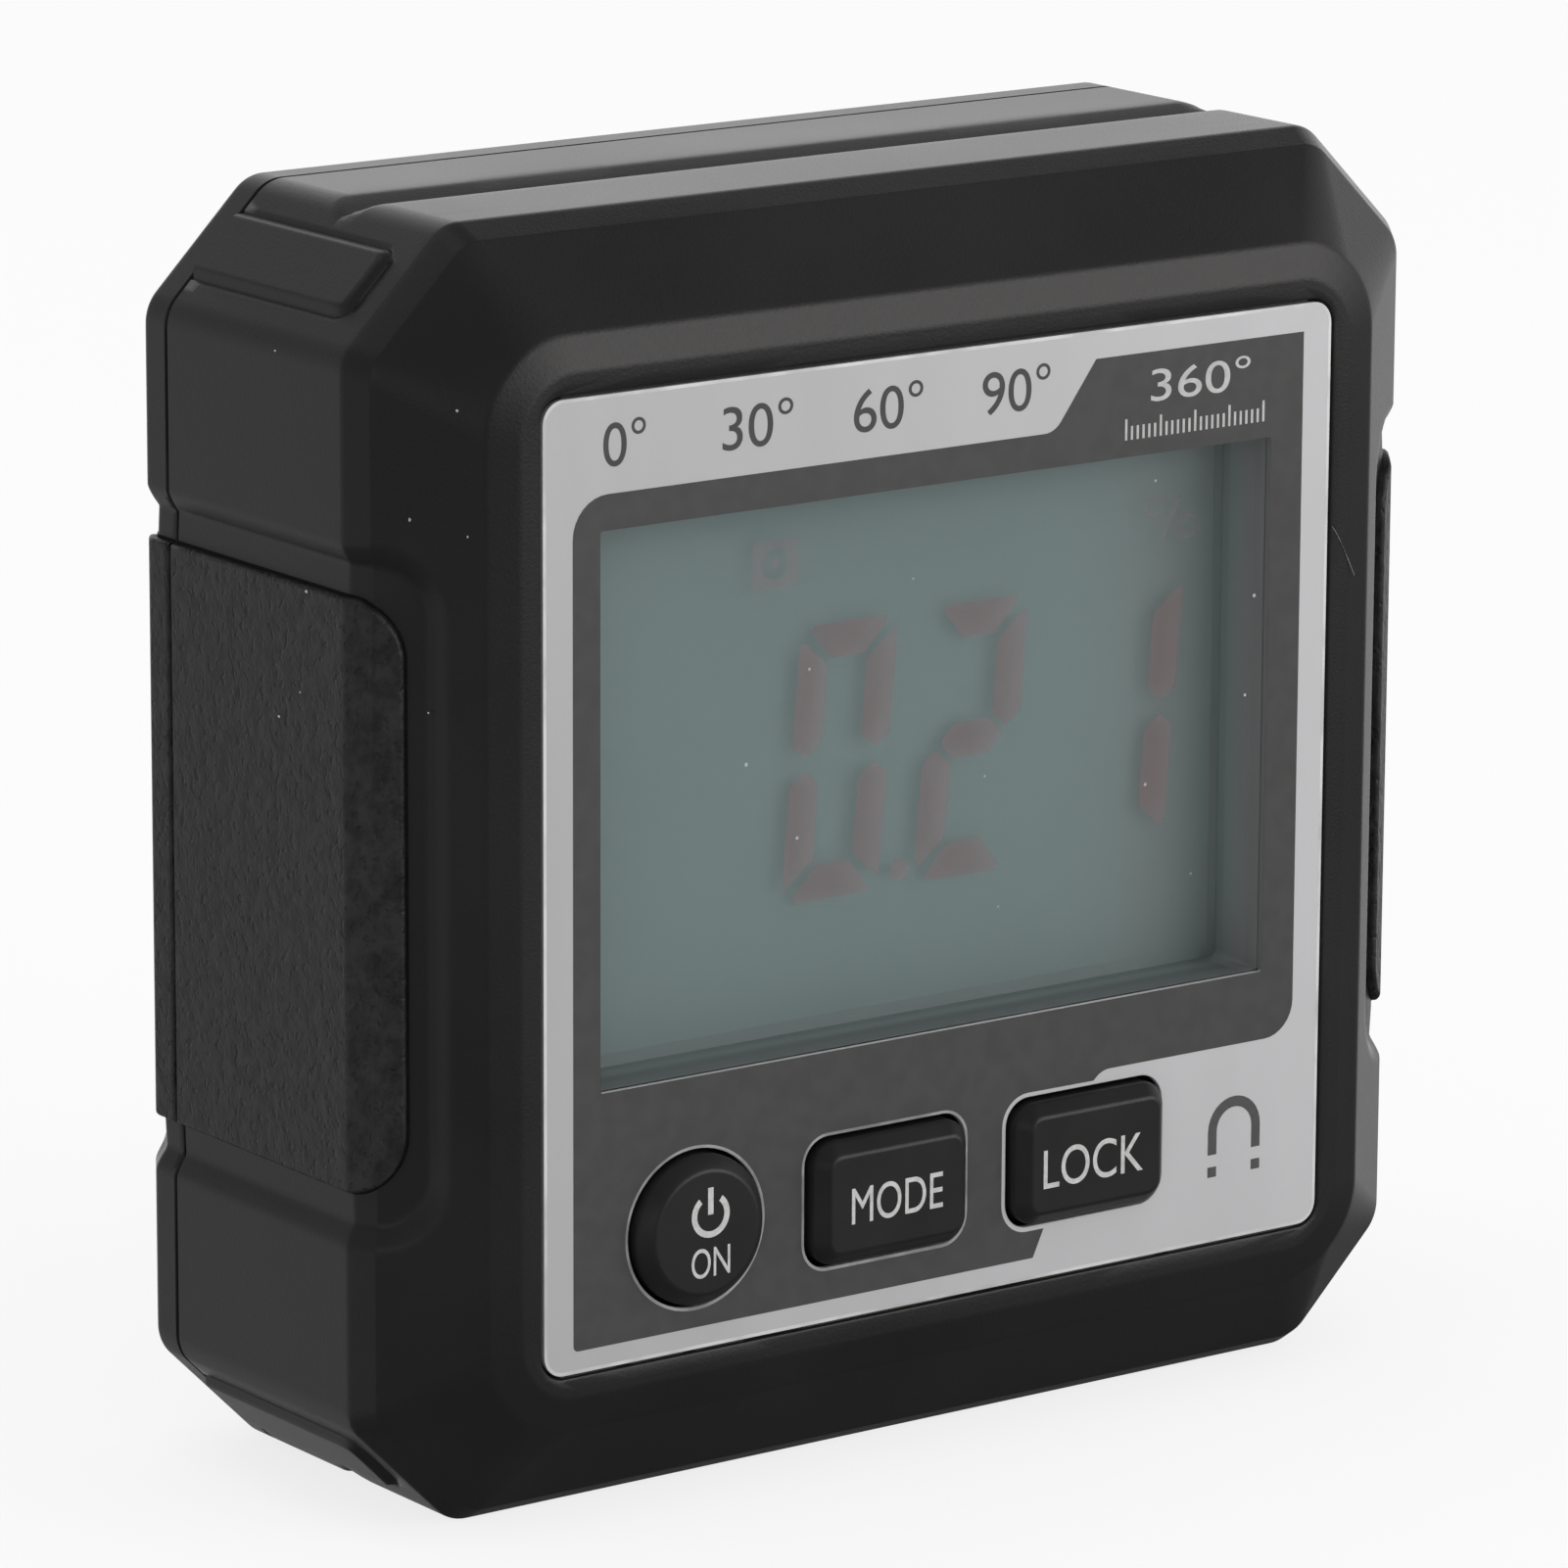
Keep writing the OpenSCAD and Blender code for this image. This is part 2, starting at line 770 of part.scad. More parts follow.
module case_screws() {
    color("#8f9295") seated() at_screws() {
        bar(0, 0, head_seat - screw_l, head_seat, screw_d);
        bar(0, 0, head_seat, head_seat + screw_head_h, screw_head_d);
    }
}

module board_screws() {
    color("#8f9295") seated() at_board_screws() {
        bar(0, 0, board_back - board_screw_l, board_back, board_screw_d);
        bar(0, 0, board_back, board_back + chip_t, board_head_d);
    }
}

front_housing();
back_cover();
battery_door();
grip_left_front();
grip_left_rear();
grip_right_front();
grip_right_rear();
front_label();
display_window();
lcd_panel();
lcd_frame();
lcd_connector();
button_power();
button_unit();
button_hold();
switch_power();
switch_unit();
switch_hold();
circuit_board();
controller_chip();
tilt_sensor();
cell_left();
cell_right();
contact_bridge();
contact_plus();
contact_minus();
magnet(-1, 0);  // magnet_front_left
magnet(1, 0);  // magnet_front_right
magnet(-1, 1);  // magnet_rear_left
magnet(1, 1);  // magnet_rear_right
case_screws();
board_screws();
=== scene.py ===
import math

import bmesh
import bpy
from mathutils import Matrix, Vector


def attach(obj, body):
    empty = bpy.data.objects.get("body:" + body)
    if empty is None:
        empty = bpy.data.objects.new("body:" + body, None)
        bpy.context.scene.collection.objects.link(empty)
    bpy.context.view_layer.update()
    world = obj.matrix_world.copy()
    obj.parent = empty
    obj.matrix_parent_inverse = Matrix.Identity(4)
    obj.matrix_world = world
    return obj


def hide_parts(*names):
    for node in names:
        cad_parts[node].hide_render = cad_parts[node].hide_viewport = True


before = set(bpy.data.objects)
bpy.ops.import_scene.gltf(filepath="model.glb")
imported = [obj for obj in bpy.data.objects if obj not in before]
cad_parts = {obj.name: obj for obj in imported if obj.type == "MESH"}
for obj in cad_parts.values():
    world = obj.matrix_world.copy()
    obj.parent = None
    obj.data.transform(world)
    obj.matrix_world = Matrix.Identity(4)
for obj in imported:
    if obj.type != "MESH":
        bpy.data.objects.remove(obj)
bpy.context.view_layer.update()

# The studio: a pale floor under the gauge, a white surround that is bright behind it and dim
# in front, a soft lamp in front on the right and weaker ones on the left and above. The
# camera is a long lens on the left, a little above the gauge.
scene = bpy.context.scene
scene.view_settings.view_transform = "Standard"


class Tone:
    """A value that runs over a surface: a socket of a node tree, with plain maths on it."""

    def __init__(self, socket):
        self.socket = socket
        self.tree = socket.id_data

    def node(self, kind, settings=None, inputs=None, out=0):
        made = self.tree.nodes.new("ShaderNode" + kind)
        for name, value in (settings or {}).items():
            setattr(made, name, value)
        for name, value in (inputs or {}).items():
            if isinstance(value, Tone):
                self.tree.links.new(value.socket, made.inputs[name])
            else:
                made.inputs[name].default_value = value
        return Tone(made.outputs[out]) if made.outputs else None

    def maths(self, operation, first, second):
        return self.node("Math", {"operation": operation}, {0: first, 1: second})

    def __add__(self, other):
        return self.maths("ADD", self, other)

    def __sub__(self, other):
        return self.maths("SUBTRACT", self, other)

    def __mul__(self, other):
        return self.maths("MULTIPLY", self, other)

    def __radd__(self, other):
        return self.maths("ADD", other, self)

    def __rsub__(self, other):
        return self.maths("SUBTRACT", other, self)

    def __rmul__(self, other):
        return self.maths("MULTIPLY", other, self)

    def __gt__(self, other):
        return self.maths("GREATER_THAN", self, other)

    def fade(self, low, high):
        return self.node(
            "MapRange",
            {"interpolation_type": "SMOOTHSTEP"},
            {"Value": self, "From Min": low, "From Max": high},
        )

    def blend(self, dark, light):
        return self.node("Mix", {"data_type": "RGBA"}, {0: self, 6: dark, 7: light}, 2)


def grey(level):
    return (level, level, level, 1)


lens = bpy.data.cameras.new("camera")
lens.lens = 201.505
lens.sensor_width = 36
camera = bpy.data.objects.new("camera", lens)
to_right = Vector((0.8083625, -0.5886673, 0.0045653))
to_top = Vector((0.1323548, 0.1892961, 0.9729590))
to_back = Vector((-0.5736133, -0.7858994, 0.2309328))
camera.matrix_world = Matrix.LocRotScale(
    Vector((-0.2374416, -0.3241645, 0.1253031)),
    Matrix((to_right, to_top, to_back)).transposed(),
    None,
)
scene.collection.objects.link(camera)
scene.camera = camera

scene.world = bpy.data.worlds.new("surround")
scene.world.use_nodes = True
sky = scene.world.node_tree
sky.nodes.clear()
direction = Tone(sky.nodes.new("ShaderNodeTexCoord").outputs["Generated"])
paths = sky.nodes.new("ShaderNodeLightPath").outputs
seen = Tone(paths["Is Camera Ray"]) + Tone(paths["Is Transmission Ray"])
mirrored = Tone(paths["Is Glossy Ray"])
panel = direction.node("VectorMath", {"operation": "DOT_PRODUCT"}, {0: direction, 1: (0.6, 0.75, 0.1)}, 1)
depth = direction.node("SeparateXYZ", {}, {"Vector": direction}, 1)
height = direction.node("SeparateXYZ", {}, {"Vector": direction}, 2)
sideways = direction.node("SeparateXYZ", {}, {"Vector": direction}, 0)
backdrop = depth.fade(-0.9, 0.1) * (1 - (height - sideways * 0.3).fade(0.1, 0.45) * 0.6) * 0.43
backdrop = (backdrop + panel.fade(0.52, 0.98) * 1.2) * (1 - height.fade(0.5, 0.9))
backdrop = 0.1 + backdrop * (height * 1.5 + depth * 0.4 - sideways * 0.25).fade(-0.7, -0.45)
level = 0.75 + mirrored * (backdrop - 0.75)
level = level + seen * (1 - level)
surround = direction.node("Background", {}, {"Strength": level, "Color": grey(1)})
surround.node("OutputWorld", {}, {"Surface": surround})


def soft_lamp(name, place, width, height, watts, shade):
    lamp = bpy.data.lights.new(name, "AREA")
    lamp.shape = "RECTANGLE"
    lamp.size = width
    lamp.size_y = height
    lamp.energy = watts
    lamp.color = shade
    made = bpy.data.objects.new(name, lamp)
    aim = (Vector((0, 0, 0.03)) - Vector(place)).to_track_quat("-Z", "Y")
    made.matrix_world = Matrix.LocRotScale(Vector(place), aim, None)
    scene.collection.objects.link(made)


soft_lamp("front_lamp", (0.52, -0.7, 0.25), 0.75, 0.42, 3.35, (1, 0.965, 0.955))
soft_lamp("left_lamp", (-0.7, -0.74, 0.2), 0.25, 0.25, 0.3, (1, 1, 1))
soft_lamp("top_lamp", (-0.25, 0.15, 0.9), 0.7, 0.7, 0.9, (1, 1, 1))

bm = bmesh.new()
bmesh.ops.create_grid(bm, x_segments=8, y_segments=8, size=4)
ground = bpy.data.meshes.new("floor")
bm.to_mesh(ground)
bm.free()
floor = bpy.data.objects.new("floor", ground)
scene.collection.objects.link(floor)
pale = bpy.data.materials.new("pale_floor")
pale.use_nodes = True
tree = pale.node_tree
tree.nodes.clear()
paths = tree.nodes.new("ShaderNodeLightPath").outputs
paper = Tone(paths["Is Camera Ray"])
lit = paper.node("BsdfDiffuse", {}, {"Color": grey(0.95)})
white = paper.node("Emission", {}, {"Color": grey(1), "Strength": 1})
mixed = paper.node("MixShader", {}, {0: paper * 0.8, 1: lit, 2: white})
mixed.node("OutputMaterial", {}, {"Surface": mixed})
ground.materials.append(pale)
floor.visible_glossy = False

# The front housing: one injection moulding in black ABS with a fine spark texture. The front
# is bevelled all round, the corners are chamfered and carry raised bumpers, V-grooves run
# along top and base, and shallow recesses in the sides take the grips.
FRONT = -11.525


def finish(name):
    made = bpy.data.materials.new(name)
    made.use_nodes = True
    tree = made.node_tree
    return made, tree.nodes["Principled BSDF"], Tone(tree.nodes.new("ShaderNodeTexCoord").outputs["Object"])


def coat(skin, sockets):
    for name, value in sockets.items():
        if isinstance(value, Tone):
            value.tree.links.new(value.socket, skin.inputs[name])
        else:
            skin.inputs[name].default_value = value


def speckle(place, size, detail=2, roughness=0.5):
    inputs = {"Vector": place, "Scale": 1 / size, "Detail": detail, "Roughness": roughness}
    return place.node("TexNoise", {}, inputs)


def relief(place, height, strength, depth):
    return place.node("Bump", {}, {"Height": height, "Strength": strength, "Distance": depth})


def moulded(name, dark, light, rough):
    made, skin, place = finish(name)
    cloud = speckle(place, 0.012, 3)
    grain = speckle(place, 0.00016, 3, 0.6)
    coat(skin, {
        "Base Color": cloud.fade(0.3, 0.7).blend(grey(dark), grey(light)),
        "Roughness": rough + cloud * 0.06 + grain * 0.08,
        "Specular IOR Level": 0.42,
        "Normal": relief(place, grain, 0.42, 0.00003),
    })
    return made


def bake(piece):
    """Turns a piece and its modifiers into a plain mesh."""
    whole = bpy.data.meshes.new_from_object(piece.evaluated_get(bpy.context.evaluated_depsgraph_get()))
    piece.modifiers.clear()
    piece.data = whole


def shade(piece, crease):
    """Smooth shading that keeps flats flat and corners steeper than the crease sharp."""
    piece.data.shade_smooth()
    piece.data.set_sharp_from_angle(angle=math.radians(crease))
    even = piece.modifiers.new("even", "WEIGHTED_NORMAL")
    even.keep_sharp = True
    bake(piece)


def settle(bm, name, body, material, node=None, crease=32):
    """Takes a mesh in millimetres, with depth counted from the front face, into the gauge."""
    bmesh.ops.translate(bm, verts=bm.verts, vec=(0, FRONT, 0))
    bmesh.ops.scale(bm, verts=bm.verts, vec=(0.001, 0.001, 0.001))
    mesh = bpy.data.meshes.new(name)
    bm.to_mesh(mesh)
    bm.free()
    mesh.materials.append(material)
    piece = bpy.data.objects.new(name, mesh)
    scene.collection.objects.link(piece)
    shade(piece, crease)
    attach(piece, body)
    if node:
        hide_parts(node)
    return piece


def loft(rings, closed):
    """A skin over rings that all have the same number of points."""
    bm = bmesh.new()
    count = len(rings[0])
    rings = rings + rings[:1] if closed else rings
    bmesh.ops.create_grid(bm, x_segments=count, y_segments=len(rings) - 1, size=1)
    bm.verts.ensure_lookup_table()
    for r, ring in enumerate(rings):
        for c in range(count + 1):
            bm.verts[r * (count + 1) + c].co = ring[c % count]
    bmesh.ops.remove_doubles(bm, verts=bm.verts, dist=0.001)
    if not closed:
        bmesh.ops.holes_fill(bm, edges=[e for e in bm.edges if e.is_boundary], sides=0)
    bmesh.ops.recalc_face_normals(bm, faces=bm.faces)
    return bm


def cut(piece, tools, crease=32):
    """Takes the tools, a mesh in millimetres, out of a piece."""
    bmesh.ops.recalc_face_normals(tools, faces=tools.faces)
    bmesh.ops.translate(tools, verts=tools.verts, vec=(0, FRONT, 0))
    bmesh.ops.scale(tools, verts=tools.verts, vec=(0.001, 0.001, 0.001))
    mesh = bpy.data.meshes.new("tools")
    tools.to_mesh(mesh)
    tools.free()
    cutter = bpy.data.objects.new("tools", mesh)
    scene.collection.objects.link(cutter)
    opening = piece.modifiers.new("opening", "BOOLEAN")
    opening.object = cutter
    opening.solver = "EXACT"
    bake(piece)
    bpy.data.objects.remove(cutter)
    shade(piece, crease)


def filleted(corners, radii, steps, runs):
    """Points along a section: straight runs divided at given shares, corners rounded in steps."""
    points = [Vector(corners[0])]
    for k in range(1, len(corners)):
        corner = Vector(corners[k])
        near, far = corner, corner
        if radii[k]:
            into = (Vector(corners[k - 1]) - corner).normalized()
            away = (Vector(corners[k + 1]) - corner).normalized()
            half = into.angle(away) / 2
            near = corner + into * radii[k] / math.tan(half)
            far = corner + away * radii[k] / math.tan(half)
            centre = corner + (into + away).normalized() * radii[k] / math.sin(half)
        start = points[-1]
        points += [start.lerp(near, share) for share in runs[k - 1]] + [near]
        if radii[k]:
            for step in range(1, steps[k]):
                spoke = (near - centre).slerp(far - centre, step / steps[k])
                points.append(centre + spoke * radii[k])
            points.append(far)
    return points


def set_in(corners, depth, turn):
    """A section moved inwards by depth; turn is 1 from front to back and -1 from back to front."""
    made = []
    for k, corner in enumerate(corners):
        normals = []
        for a, b in ((k - 1, k), (k, k + 1)):
            if a >= 0 and b < len(corners):
                run = (Vector(corners[b]) - Vector(corners[a])).normalized()
                normals.append(Vector((run.y, -run.x)) * turn)
        shift = sum(normals, Vector((0, 0)))
        share = shift.length_squared if len(normals) == 2 else 2
        made.append(tuple(Vector(corner) + shift * depth * 2 / share))
    return made


def lengths(points):
    """How far along a section each of its points lies."""
    runs = [0]
    for before, point in zip(points, points[1:]):
        runs.append(runs[-1] + (point - before).length)
    return runs


HALF = 30
CHAMFER = 5.5
DIAGONAL, BEND_REACH = 0.7071, 0.4142
GRIP_DEPTH = 0.7
SEAM = 19.06
side_cuts = [
    18.0, 17.0, 16.0, 15.0, 14.2, 13.6, 13.42, 13.36, 13.2, 12.6, 12.05, 12.0, 11.95, 11.4, 10.8,
    10.64, 10.58, 10.4, 9.8, 9.0, 8.3, 7.5, 7.05, 6.98, 6.9, 6.82, 6.74, 6.67, 6.6, 6.54, 6.48,
    6.42, 6.36, 5.8, 5.3,
]
side_shares = [(SEAM - 0.1 - y) / (SEAM - 0.1 - 4.84) for y in side_cuts]
bevel_shares = [k * 0.034 for k in range(1, 24)] + [0.85, 0.92]
front_corners = [(0.1, SEAM), (0, SEAM - 0.1), (0, 4.67), (0.73, 3.49), (4.74, 0.427), (6.36, 0), (7.0, 0)]
front_steps = [0, 0, 5, 4, 5, 5, 0]
front_shares = [[], side_shares, [0.33, 0.66], bevel_shares, [0.25, 0.5, 0.75], [0.5]]
front_rows = filleted(front_corners, [0, 0, 0.6, 0.3, 0.9, 1.2, 0], front_steps, front_shares)
front_floor = filleted(
    [(0.1 + GRIP_DEPTH, SEAM)] + set_in(front_corners[1:], GRIP_DEPTH, -1),
    [0, 0, 0.5, 0.25, 0.75, 1, 0], front_steps, front_shares,
)
front_run = lengths(front_rows)

lines = [0, 3, 6, 8.5] + [9.6 + 0.2 * k for k in range(36)] + [17.4, 18.5]
flank = [-w for w in reversed(lines[1:])] + lines
slant_lines = [0, 0.8, 1.35, 1.42, 1.5, 1.58, 1.66, 1.73, 1.8, 1.86, 1.92, 1.98, 2.04, 2.3, 2.7]
slant = [-v for v in reversed(slant_lines[1:])] + slant_lines
columns = []
for quarter in range(4):
    columns.append((quarter, "end", -1))
    columns += [(quarter, "side", w) for w in flank]
    columns.append((quarter, "end", 1))
    columns += [(quarter, "near", a) for a in range(5, 50, 5)]
    columns += [(quarter, "slant", v) for v in slant]
    columns += [(quarter, "far", a) for a in range(45, 90, 5)]
corner_count = 9 + len(slant) + 9


def spot(quarter, out, along):
    return ((out, along), (-along, out), (-out, -along), (along, -out))[quarter]


def octagon(column, inset):
    """A point of the chamfered outline: how far out, and how far along its side."""
    quarter, kind, value = column
    half = HALF - inset
    leg = CHAMFER - 0.5858 * inset
    bend = min(2 + 0.6 * max(inset - 0.8, 0), 1.65 * leg)
    flat = half - leg - BEND_REACH * bend
    if kind == "side":
        return (half, value)
    if kind == "end":
        return (half, value * flat)
    if kind == "near":
        a = math.radians(value)
        return (half - bend + bend * math.cos(a), flat + bend * math.sin(a))
    if kind == "far":
        a = math.radians(value)
        return (flat + bend * math.cos(a), half - bend + bend * math.sin(a))
    share = value / 3.06 * (leg * DIAGONAL - BEND_REACH * bend)
    return (half - leg / 2 - share * DIAGONAL, half - leg / 2 + share * DIAGONAL)


def oblong(x, z, half_w, half_h, bend, y):
    """A rectangular ring with the same points as the outline."""
    ring = []
    turn = 0
    for quarter, kind, value in columns:
        out, along = (half_w, half_h) if quarter % 2 == 0 else (half_h, half_w)
        if kind in ("side", "end"):
            turn = 0
            place = (out, (value if kind == "end" else value / 18.6) * (along - bend))
        else:
            turn += 1
            a = math.pi / 2 * turn / (corner_count + 1)
            place = (out - bend + bend * math.cos(a), along - bend + bend * math.sin(a))
        px, pz = spot(quarter, *place)
        ring.append(Vector((x + px, y, z + pz)))
    return ring


def round_edge(across, over, bend):
    """The distance to an outline with rounded corners, less than 0 inside it."""
    across, over = across + bend, over + bend
    return math.hypot(max(across, 0), max(over, 0)) + min(max(across, over), 0) - bend


def recess(run, z, ahead):
    """How far the grip recess has sunk at a point: 0 on the side, 1 on its floor."""
    edge = round_edge(abs(z - 30.05) - 16.15, run - ahead, 3.4)
    return 0.75 * min(max(-edge, 0), 1) ** 1.3 - 0.06 * min(max(-edge - 1, 0), 1.5)


def bumper(offset, y):
    """The rise of the raised pad on a corner, with a fine line sunk along both its sides."""
    edge = round_edge(abs(offset) - 1.86, 6.5 - y, 0.7)
    rise = min(max(-edge / 0.3, 0), 1.4)
    rise = rise - max(rise - 0.6, 0) ** 2 / 1.6
    line = max(1 - abs(edge - 0.1) / 0.08, 0)
    return 0.3 * rise - 0.12 * line


def groove(y, z):
    """The height of a point once the V-grooves of top and base, with soft rims, are taken out."""
    reach = abs(z - HALF)
    deep = 29.3 + abs(y - 12) * 0.5
    soft = max(0.2 - abs(reach - deep), 0)
    return HALF + math.copysign(min(reach, deep) - soft * soft / 0.8, z - HALF)


def case_ring(rows, floor_rows, runs, k, ahead):
    ring = []
    for column in columns:
        quarter, kind, value = column
        inset, y = rows[k]
        if quarter % 2 == 0 and kind == "side":
            z = HALF + value if quarter == 0 else HALF - value
            inset, y = rows[k].lerp(floor_rows[k], recess(runs[k], z, ahead))
        out, along = octagon(column, inset)
        if kind == "slant" and y < SEAM:
            rise = bumper(value, y) * DIAGONAL
            out, along = out + rise, along + rise
        x, z = spot(quarter, out, along)
        ring.append(Vector((x, y, groove(y, HALF + z) if y < SEAM else HALF + z)))
    return ring


def outline_ring(inset, y):
    """The chamfered outline at one depth, with no recess or groove in it."""
    spots = (spot(column[0], *octagon(column, inset)) for column in columns)
    return [Vector((x, y, HALF + z)) for x, z in spots]


black_abs = moulded("black_abs", 0.0085, 0.0115, 0.34)
window_x, window_z, window_w, window_h = -0.225, 33.375, 19.175, 12.925
rings = [case_ring(front_rows, front_floor, front_run, k, 19.25) for k in range(len(front_rows) - 1)]
rings += [
    oblong(0, HALF, 22.75, 22.75, 1.3, 0),
    oblong(0, HALF, 22.64, 22.64, 1.25, 0.04),
    oblong(0, HALF, 22.6, 22.6, 1.25, 0.14),
    oblong(0, HALF, 22.6, 22.6, 1.25, 0.35),
    oblong(window_x, window_z, window_w + 1.35, window_h + 1.35, 0.4, 0.35),
    oblong(window_x, window_z, window_w + 1.35, window_h + 1.35, 0.4, 1.35),
    oblong(window_x, window_z, window_w, window_h, 0.3, 1.35),
    oblong(window_x, window_z, window_w, window_h, 0.3, 2.4),
    oblong(0, HALF, 22, 22, 1.2, 2.4),
    outline_ring(4.2, 6),
    outline_ring(3.2, SEAM),
]
housing = settle(loft(rings, True), "housing_shell", "case", black_abs, "front_housing")


def drum(bm, x, z, radius, near, far, segments=64):
    made = bmesh.ops.create_cone(
        bm, cap_ends=True, segments=segments, radius1=radius, radius2=radius, depth=far - near,
        matrix=Matrix.Translation((x, (near + far) / 2, z)) @ Matrix.Rotation(math.pi / 2, 4, "X"),
    )
    return made["verts"]


def block(bm, x, y, z):
    """A box between two values on each axis."""
    size = [high - low for low, high in (x, y, z)]
    middle = [(high + low) / 2 for low, high in (x, y, z)]
    made = bmesh.ops.create_cube(bm, size=1, matrix=Matrix.Translation(middle) @ Matrix.Diagonal((*size, 1)))
    return made["verts"]


def upright_edges(verts, axis):
    """Edges among these points that run along one axis."""
    edges = dict.fromkeys(e for v in verts for e in v.link_edges)
    return [e for e in edges if abs((e.verts[0].co - e.verts[1].co).normalized()[axis]) > 0.99]


def soften(bm, edges, width, segments):
    return bmesh.ops.bevel(
        bm, geom=edges, offset=width, offset_type="OFFSET", segments=segments, profile=0.5,
        affect="EDGES", clamp_overlap=True, material=-1,
    )


KEY_Z = 13.3
POWER_X, MODE_X, LOCK_X = -14.1, -3.325, 8.325
tools = bmesh.new()
drum(tools, POWER_X, KEY_Z, 3.75, -1, 3)
for x in (MODE_X, LOCK_X):
    verts = block(tools, (x - 4.625, x + 4.625), (-1, 3), (KEY_Z - 3.15, KEY_Z + 3.15))
    soften(tools, upright_edges(verts, 1), 1.3, 8)
for x in (-18, 18):
    for y in (7.635, 16.23):
        bmesh.ops.create_cone(
            tools, cap_ends=True, segments=48, radius1=2.6, radius2=2.6, depth=3.55,
            matrix=Matrix.Translation((x, y, 0.775)),
        )
cut(housing, tools)

# The back cover: the second moulding of the case, in the same black ABS. It meets the housing
# at a shadow line and holds the battery bay, the door channel and four screw wells.
BACK = 24
EDGE = SEAM + 0.09
rear_corners = [
    (0.5, EDGE), (0.08, EDGE), (0, SEAM + 0.17), (0, 20.8), (0.73, 21.98), (3.375, BACK), (6.0, BACK),
]
rear_steps = [0, 0, 0, 5, 4, 7, 0]
rear_shares = [[], [], [0.25, 0.5, 0.75], [0.33, 0.66], [k * 0.05 for k in range(1, 20)], [0.5]]
rear_rows = filleted(rear_corners, [0, 0, 0, 0.6, 0.3, 1.2, 0], rear_steps, rear_shares)
rear_floor = filleted(
    [(0.9, EDGE), (0.75, EDGE)] + set_in(rear_corners[2:], GRIP_DEPTH, 1),
    [0, 0, 0, 0.5, 0.25, 0.7, 0], rear_steps, rear_shares,
)
rear_run = lengths(rear_rows)
rings = [outline_ring(8, SEAM), outline_ring(0.5, SEAM)]
rings += [case_ring(rear_rows, rear_floor, rear_run, k, 5.95) for k in range(len(rear_rows) - 2)]
rings.append(outline_ring(4.1, BACK))
cover = settle(loft(rings, False), "cover_shell", "case", black_abs, "back_cover")
DOOR_X, DOOR_Z = 12.2, 5.6
for wide, far in ((DOOR_X + 0.1, 25), (DOOR_X + 1, 23.4)):
    tools = bmesh.new()
    block(tools, (-wide, wide), (22.5, far), (DOOR_Z - 0.1, 61))
    cut(cover, tools)
SCREWS = [(x, z) for x in (-21.5, 21.5) for z in (8.5, 51.5)]
for radius, near, far in ((2.15, 19.76, 25), (1.15, 18, 21)):
    tools = bmesh.new()
    for x, z in SCREWS:
        drum(tools, x, z, radius, near, far, 48)
    cut(cover, tools)
tools = bmesh.new()
block(tools, (-11.1, 11.1), (18, 24), (6.2, 53.8))
cut(cover, tools)

bay = bmesh.new()
block(bay, (-12.3, 12.3), (10.2, 22.45), (5.0, 55.0))
opening = [f for f in bay.faces if f.normal.y > 0.9]
bmesh.ops.inset_region(bay, faces=opening, thickness=1.2)
walls = bmesh.ops.extrude_face_region(bay, geom=opening)
inner = [v for v in walls["geom"] if isinstance(v, bmesh.types.BMVert)]
bmesh.ops.translate(bay, verts=inner, vec=(0, -11.05, 0))
bmesh.ops.delete(bay, geom=[f for f in opening if f.is_valid], context="FACES_ONLY")
bmesh.ops.recalc_face_normals(bay, faces=bay.faces)
settle(bay, "battery_bay", "case", black_abs)

# The battery door: a moulded ABS slide that runs in the cover's channel on a tongue along
# each side, with cut ridges for the thumb.


def softened(node, width, segments=2):
    """A copy of a solid's mesh, back in millimetres, with its sharp edges broken."""
    bm = bmesh.new()
    bm.from_mesh(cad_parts[node].data)
    bmesh.ops.scale(bm, verts=bm.verts, vec=(1000, 1000, 1000))
    bmesh.ops.translate(bm, verts=bm.verts, vec=(0, -FRONT, 0))
    bmesh.ops.remove_doubles(bm, verts=bm.verts, dist=0.001)
    bmesh.ops.dissolve_limit(bm, angle_limit=math.radians(1), verts=bm.verts, edges=bm.edges)
    sharp = [e for e in bm.edges if len(e.link_faces) == 2 and e.calc_face_angle() > math.radians(25)]
    soften(bm, sharp, width, segments)
    return bm


door_abs = moulded("door_abs", 0.009, 0.012, 0.36)
settle(softened("battery_door", 0.12), "door_slide", "door", door_abs, "battery_door")

# The side grips: soft rubber pads with a wrinkled leather grain, set in the recesses over a
# near-black sheet, painted shade for the gap round each pad, and split along the seam of the case.


def wrapped(rows, floor_rows, runs, run, depth):
    """The inset and depth of a point that lies at run along a section and depth under it."""
    k = 1
    while k < len(runs) - 1 and runs[k] < run:
        k += 1
    share = (run - runs[k - 1]) / (runs[k] - runs[k - 1])
    top = rows[k - 1].lerp(rows[k], share)
    deep = floor_rows[k - 1].lerp(floor_rows[k], share)
    return top.lerp(deep, depth / GRIP_DEPTH)


rubber, skin, place = finish("grip_rubber")
hide = place.node("Mapping", {}, {"Vector": place, "Scale": (1, 0.85, 0.75)})
folds = speckle(hide, 0.0007, 3, 0.6)
pores = speckle(hide, 0.00034, 1).fade(0.56, 0.74)
coat(skin, {
    "Base Color": (folds.fade(0.3, 0.7) * (1 - pores * 0.6)).blend(grey(0.009), grey(0.021)),
    "Roughness": 0.44 + folds * 0.12,
    "Specular IOR Level": 0.4,
    "Normal": relief(place, folds - pores * 0.4, 0.55, 0.0002),
})
GRIP_LOW, GRIP_HIGH = 16.45, 43.75
pad_corners = [(0, 19.21)] + rear_corners[3:6]
pad_shares = [[0.5], [0.33, 0.66], [k * 0.1 for k in range(1, 10)]]
pad_rows = filleted(pad_corners, [0, 0.6, 0.3, 0], [0, 5, 4, 0], pad_shares)
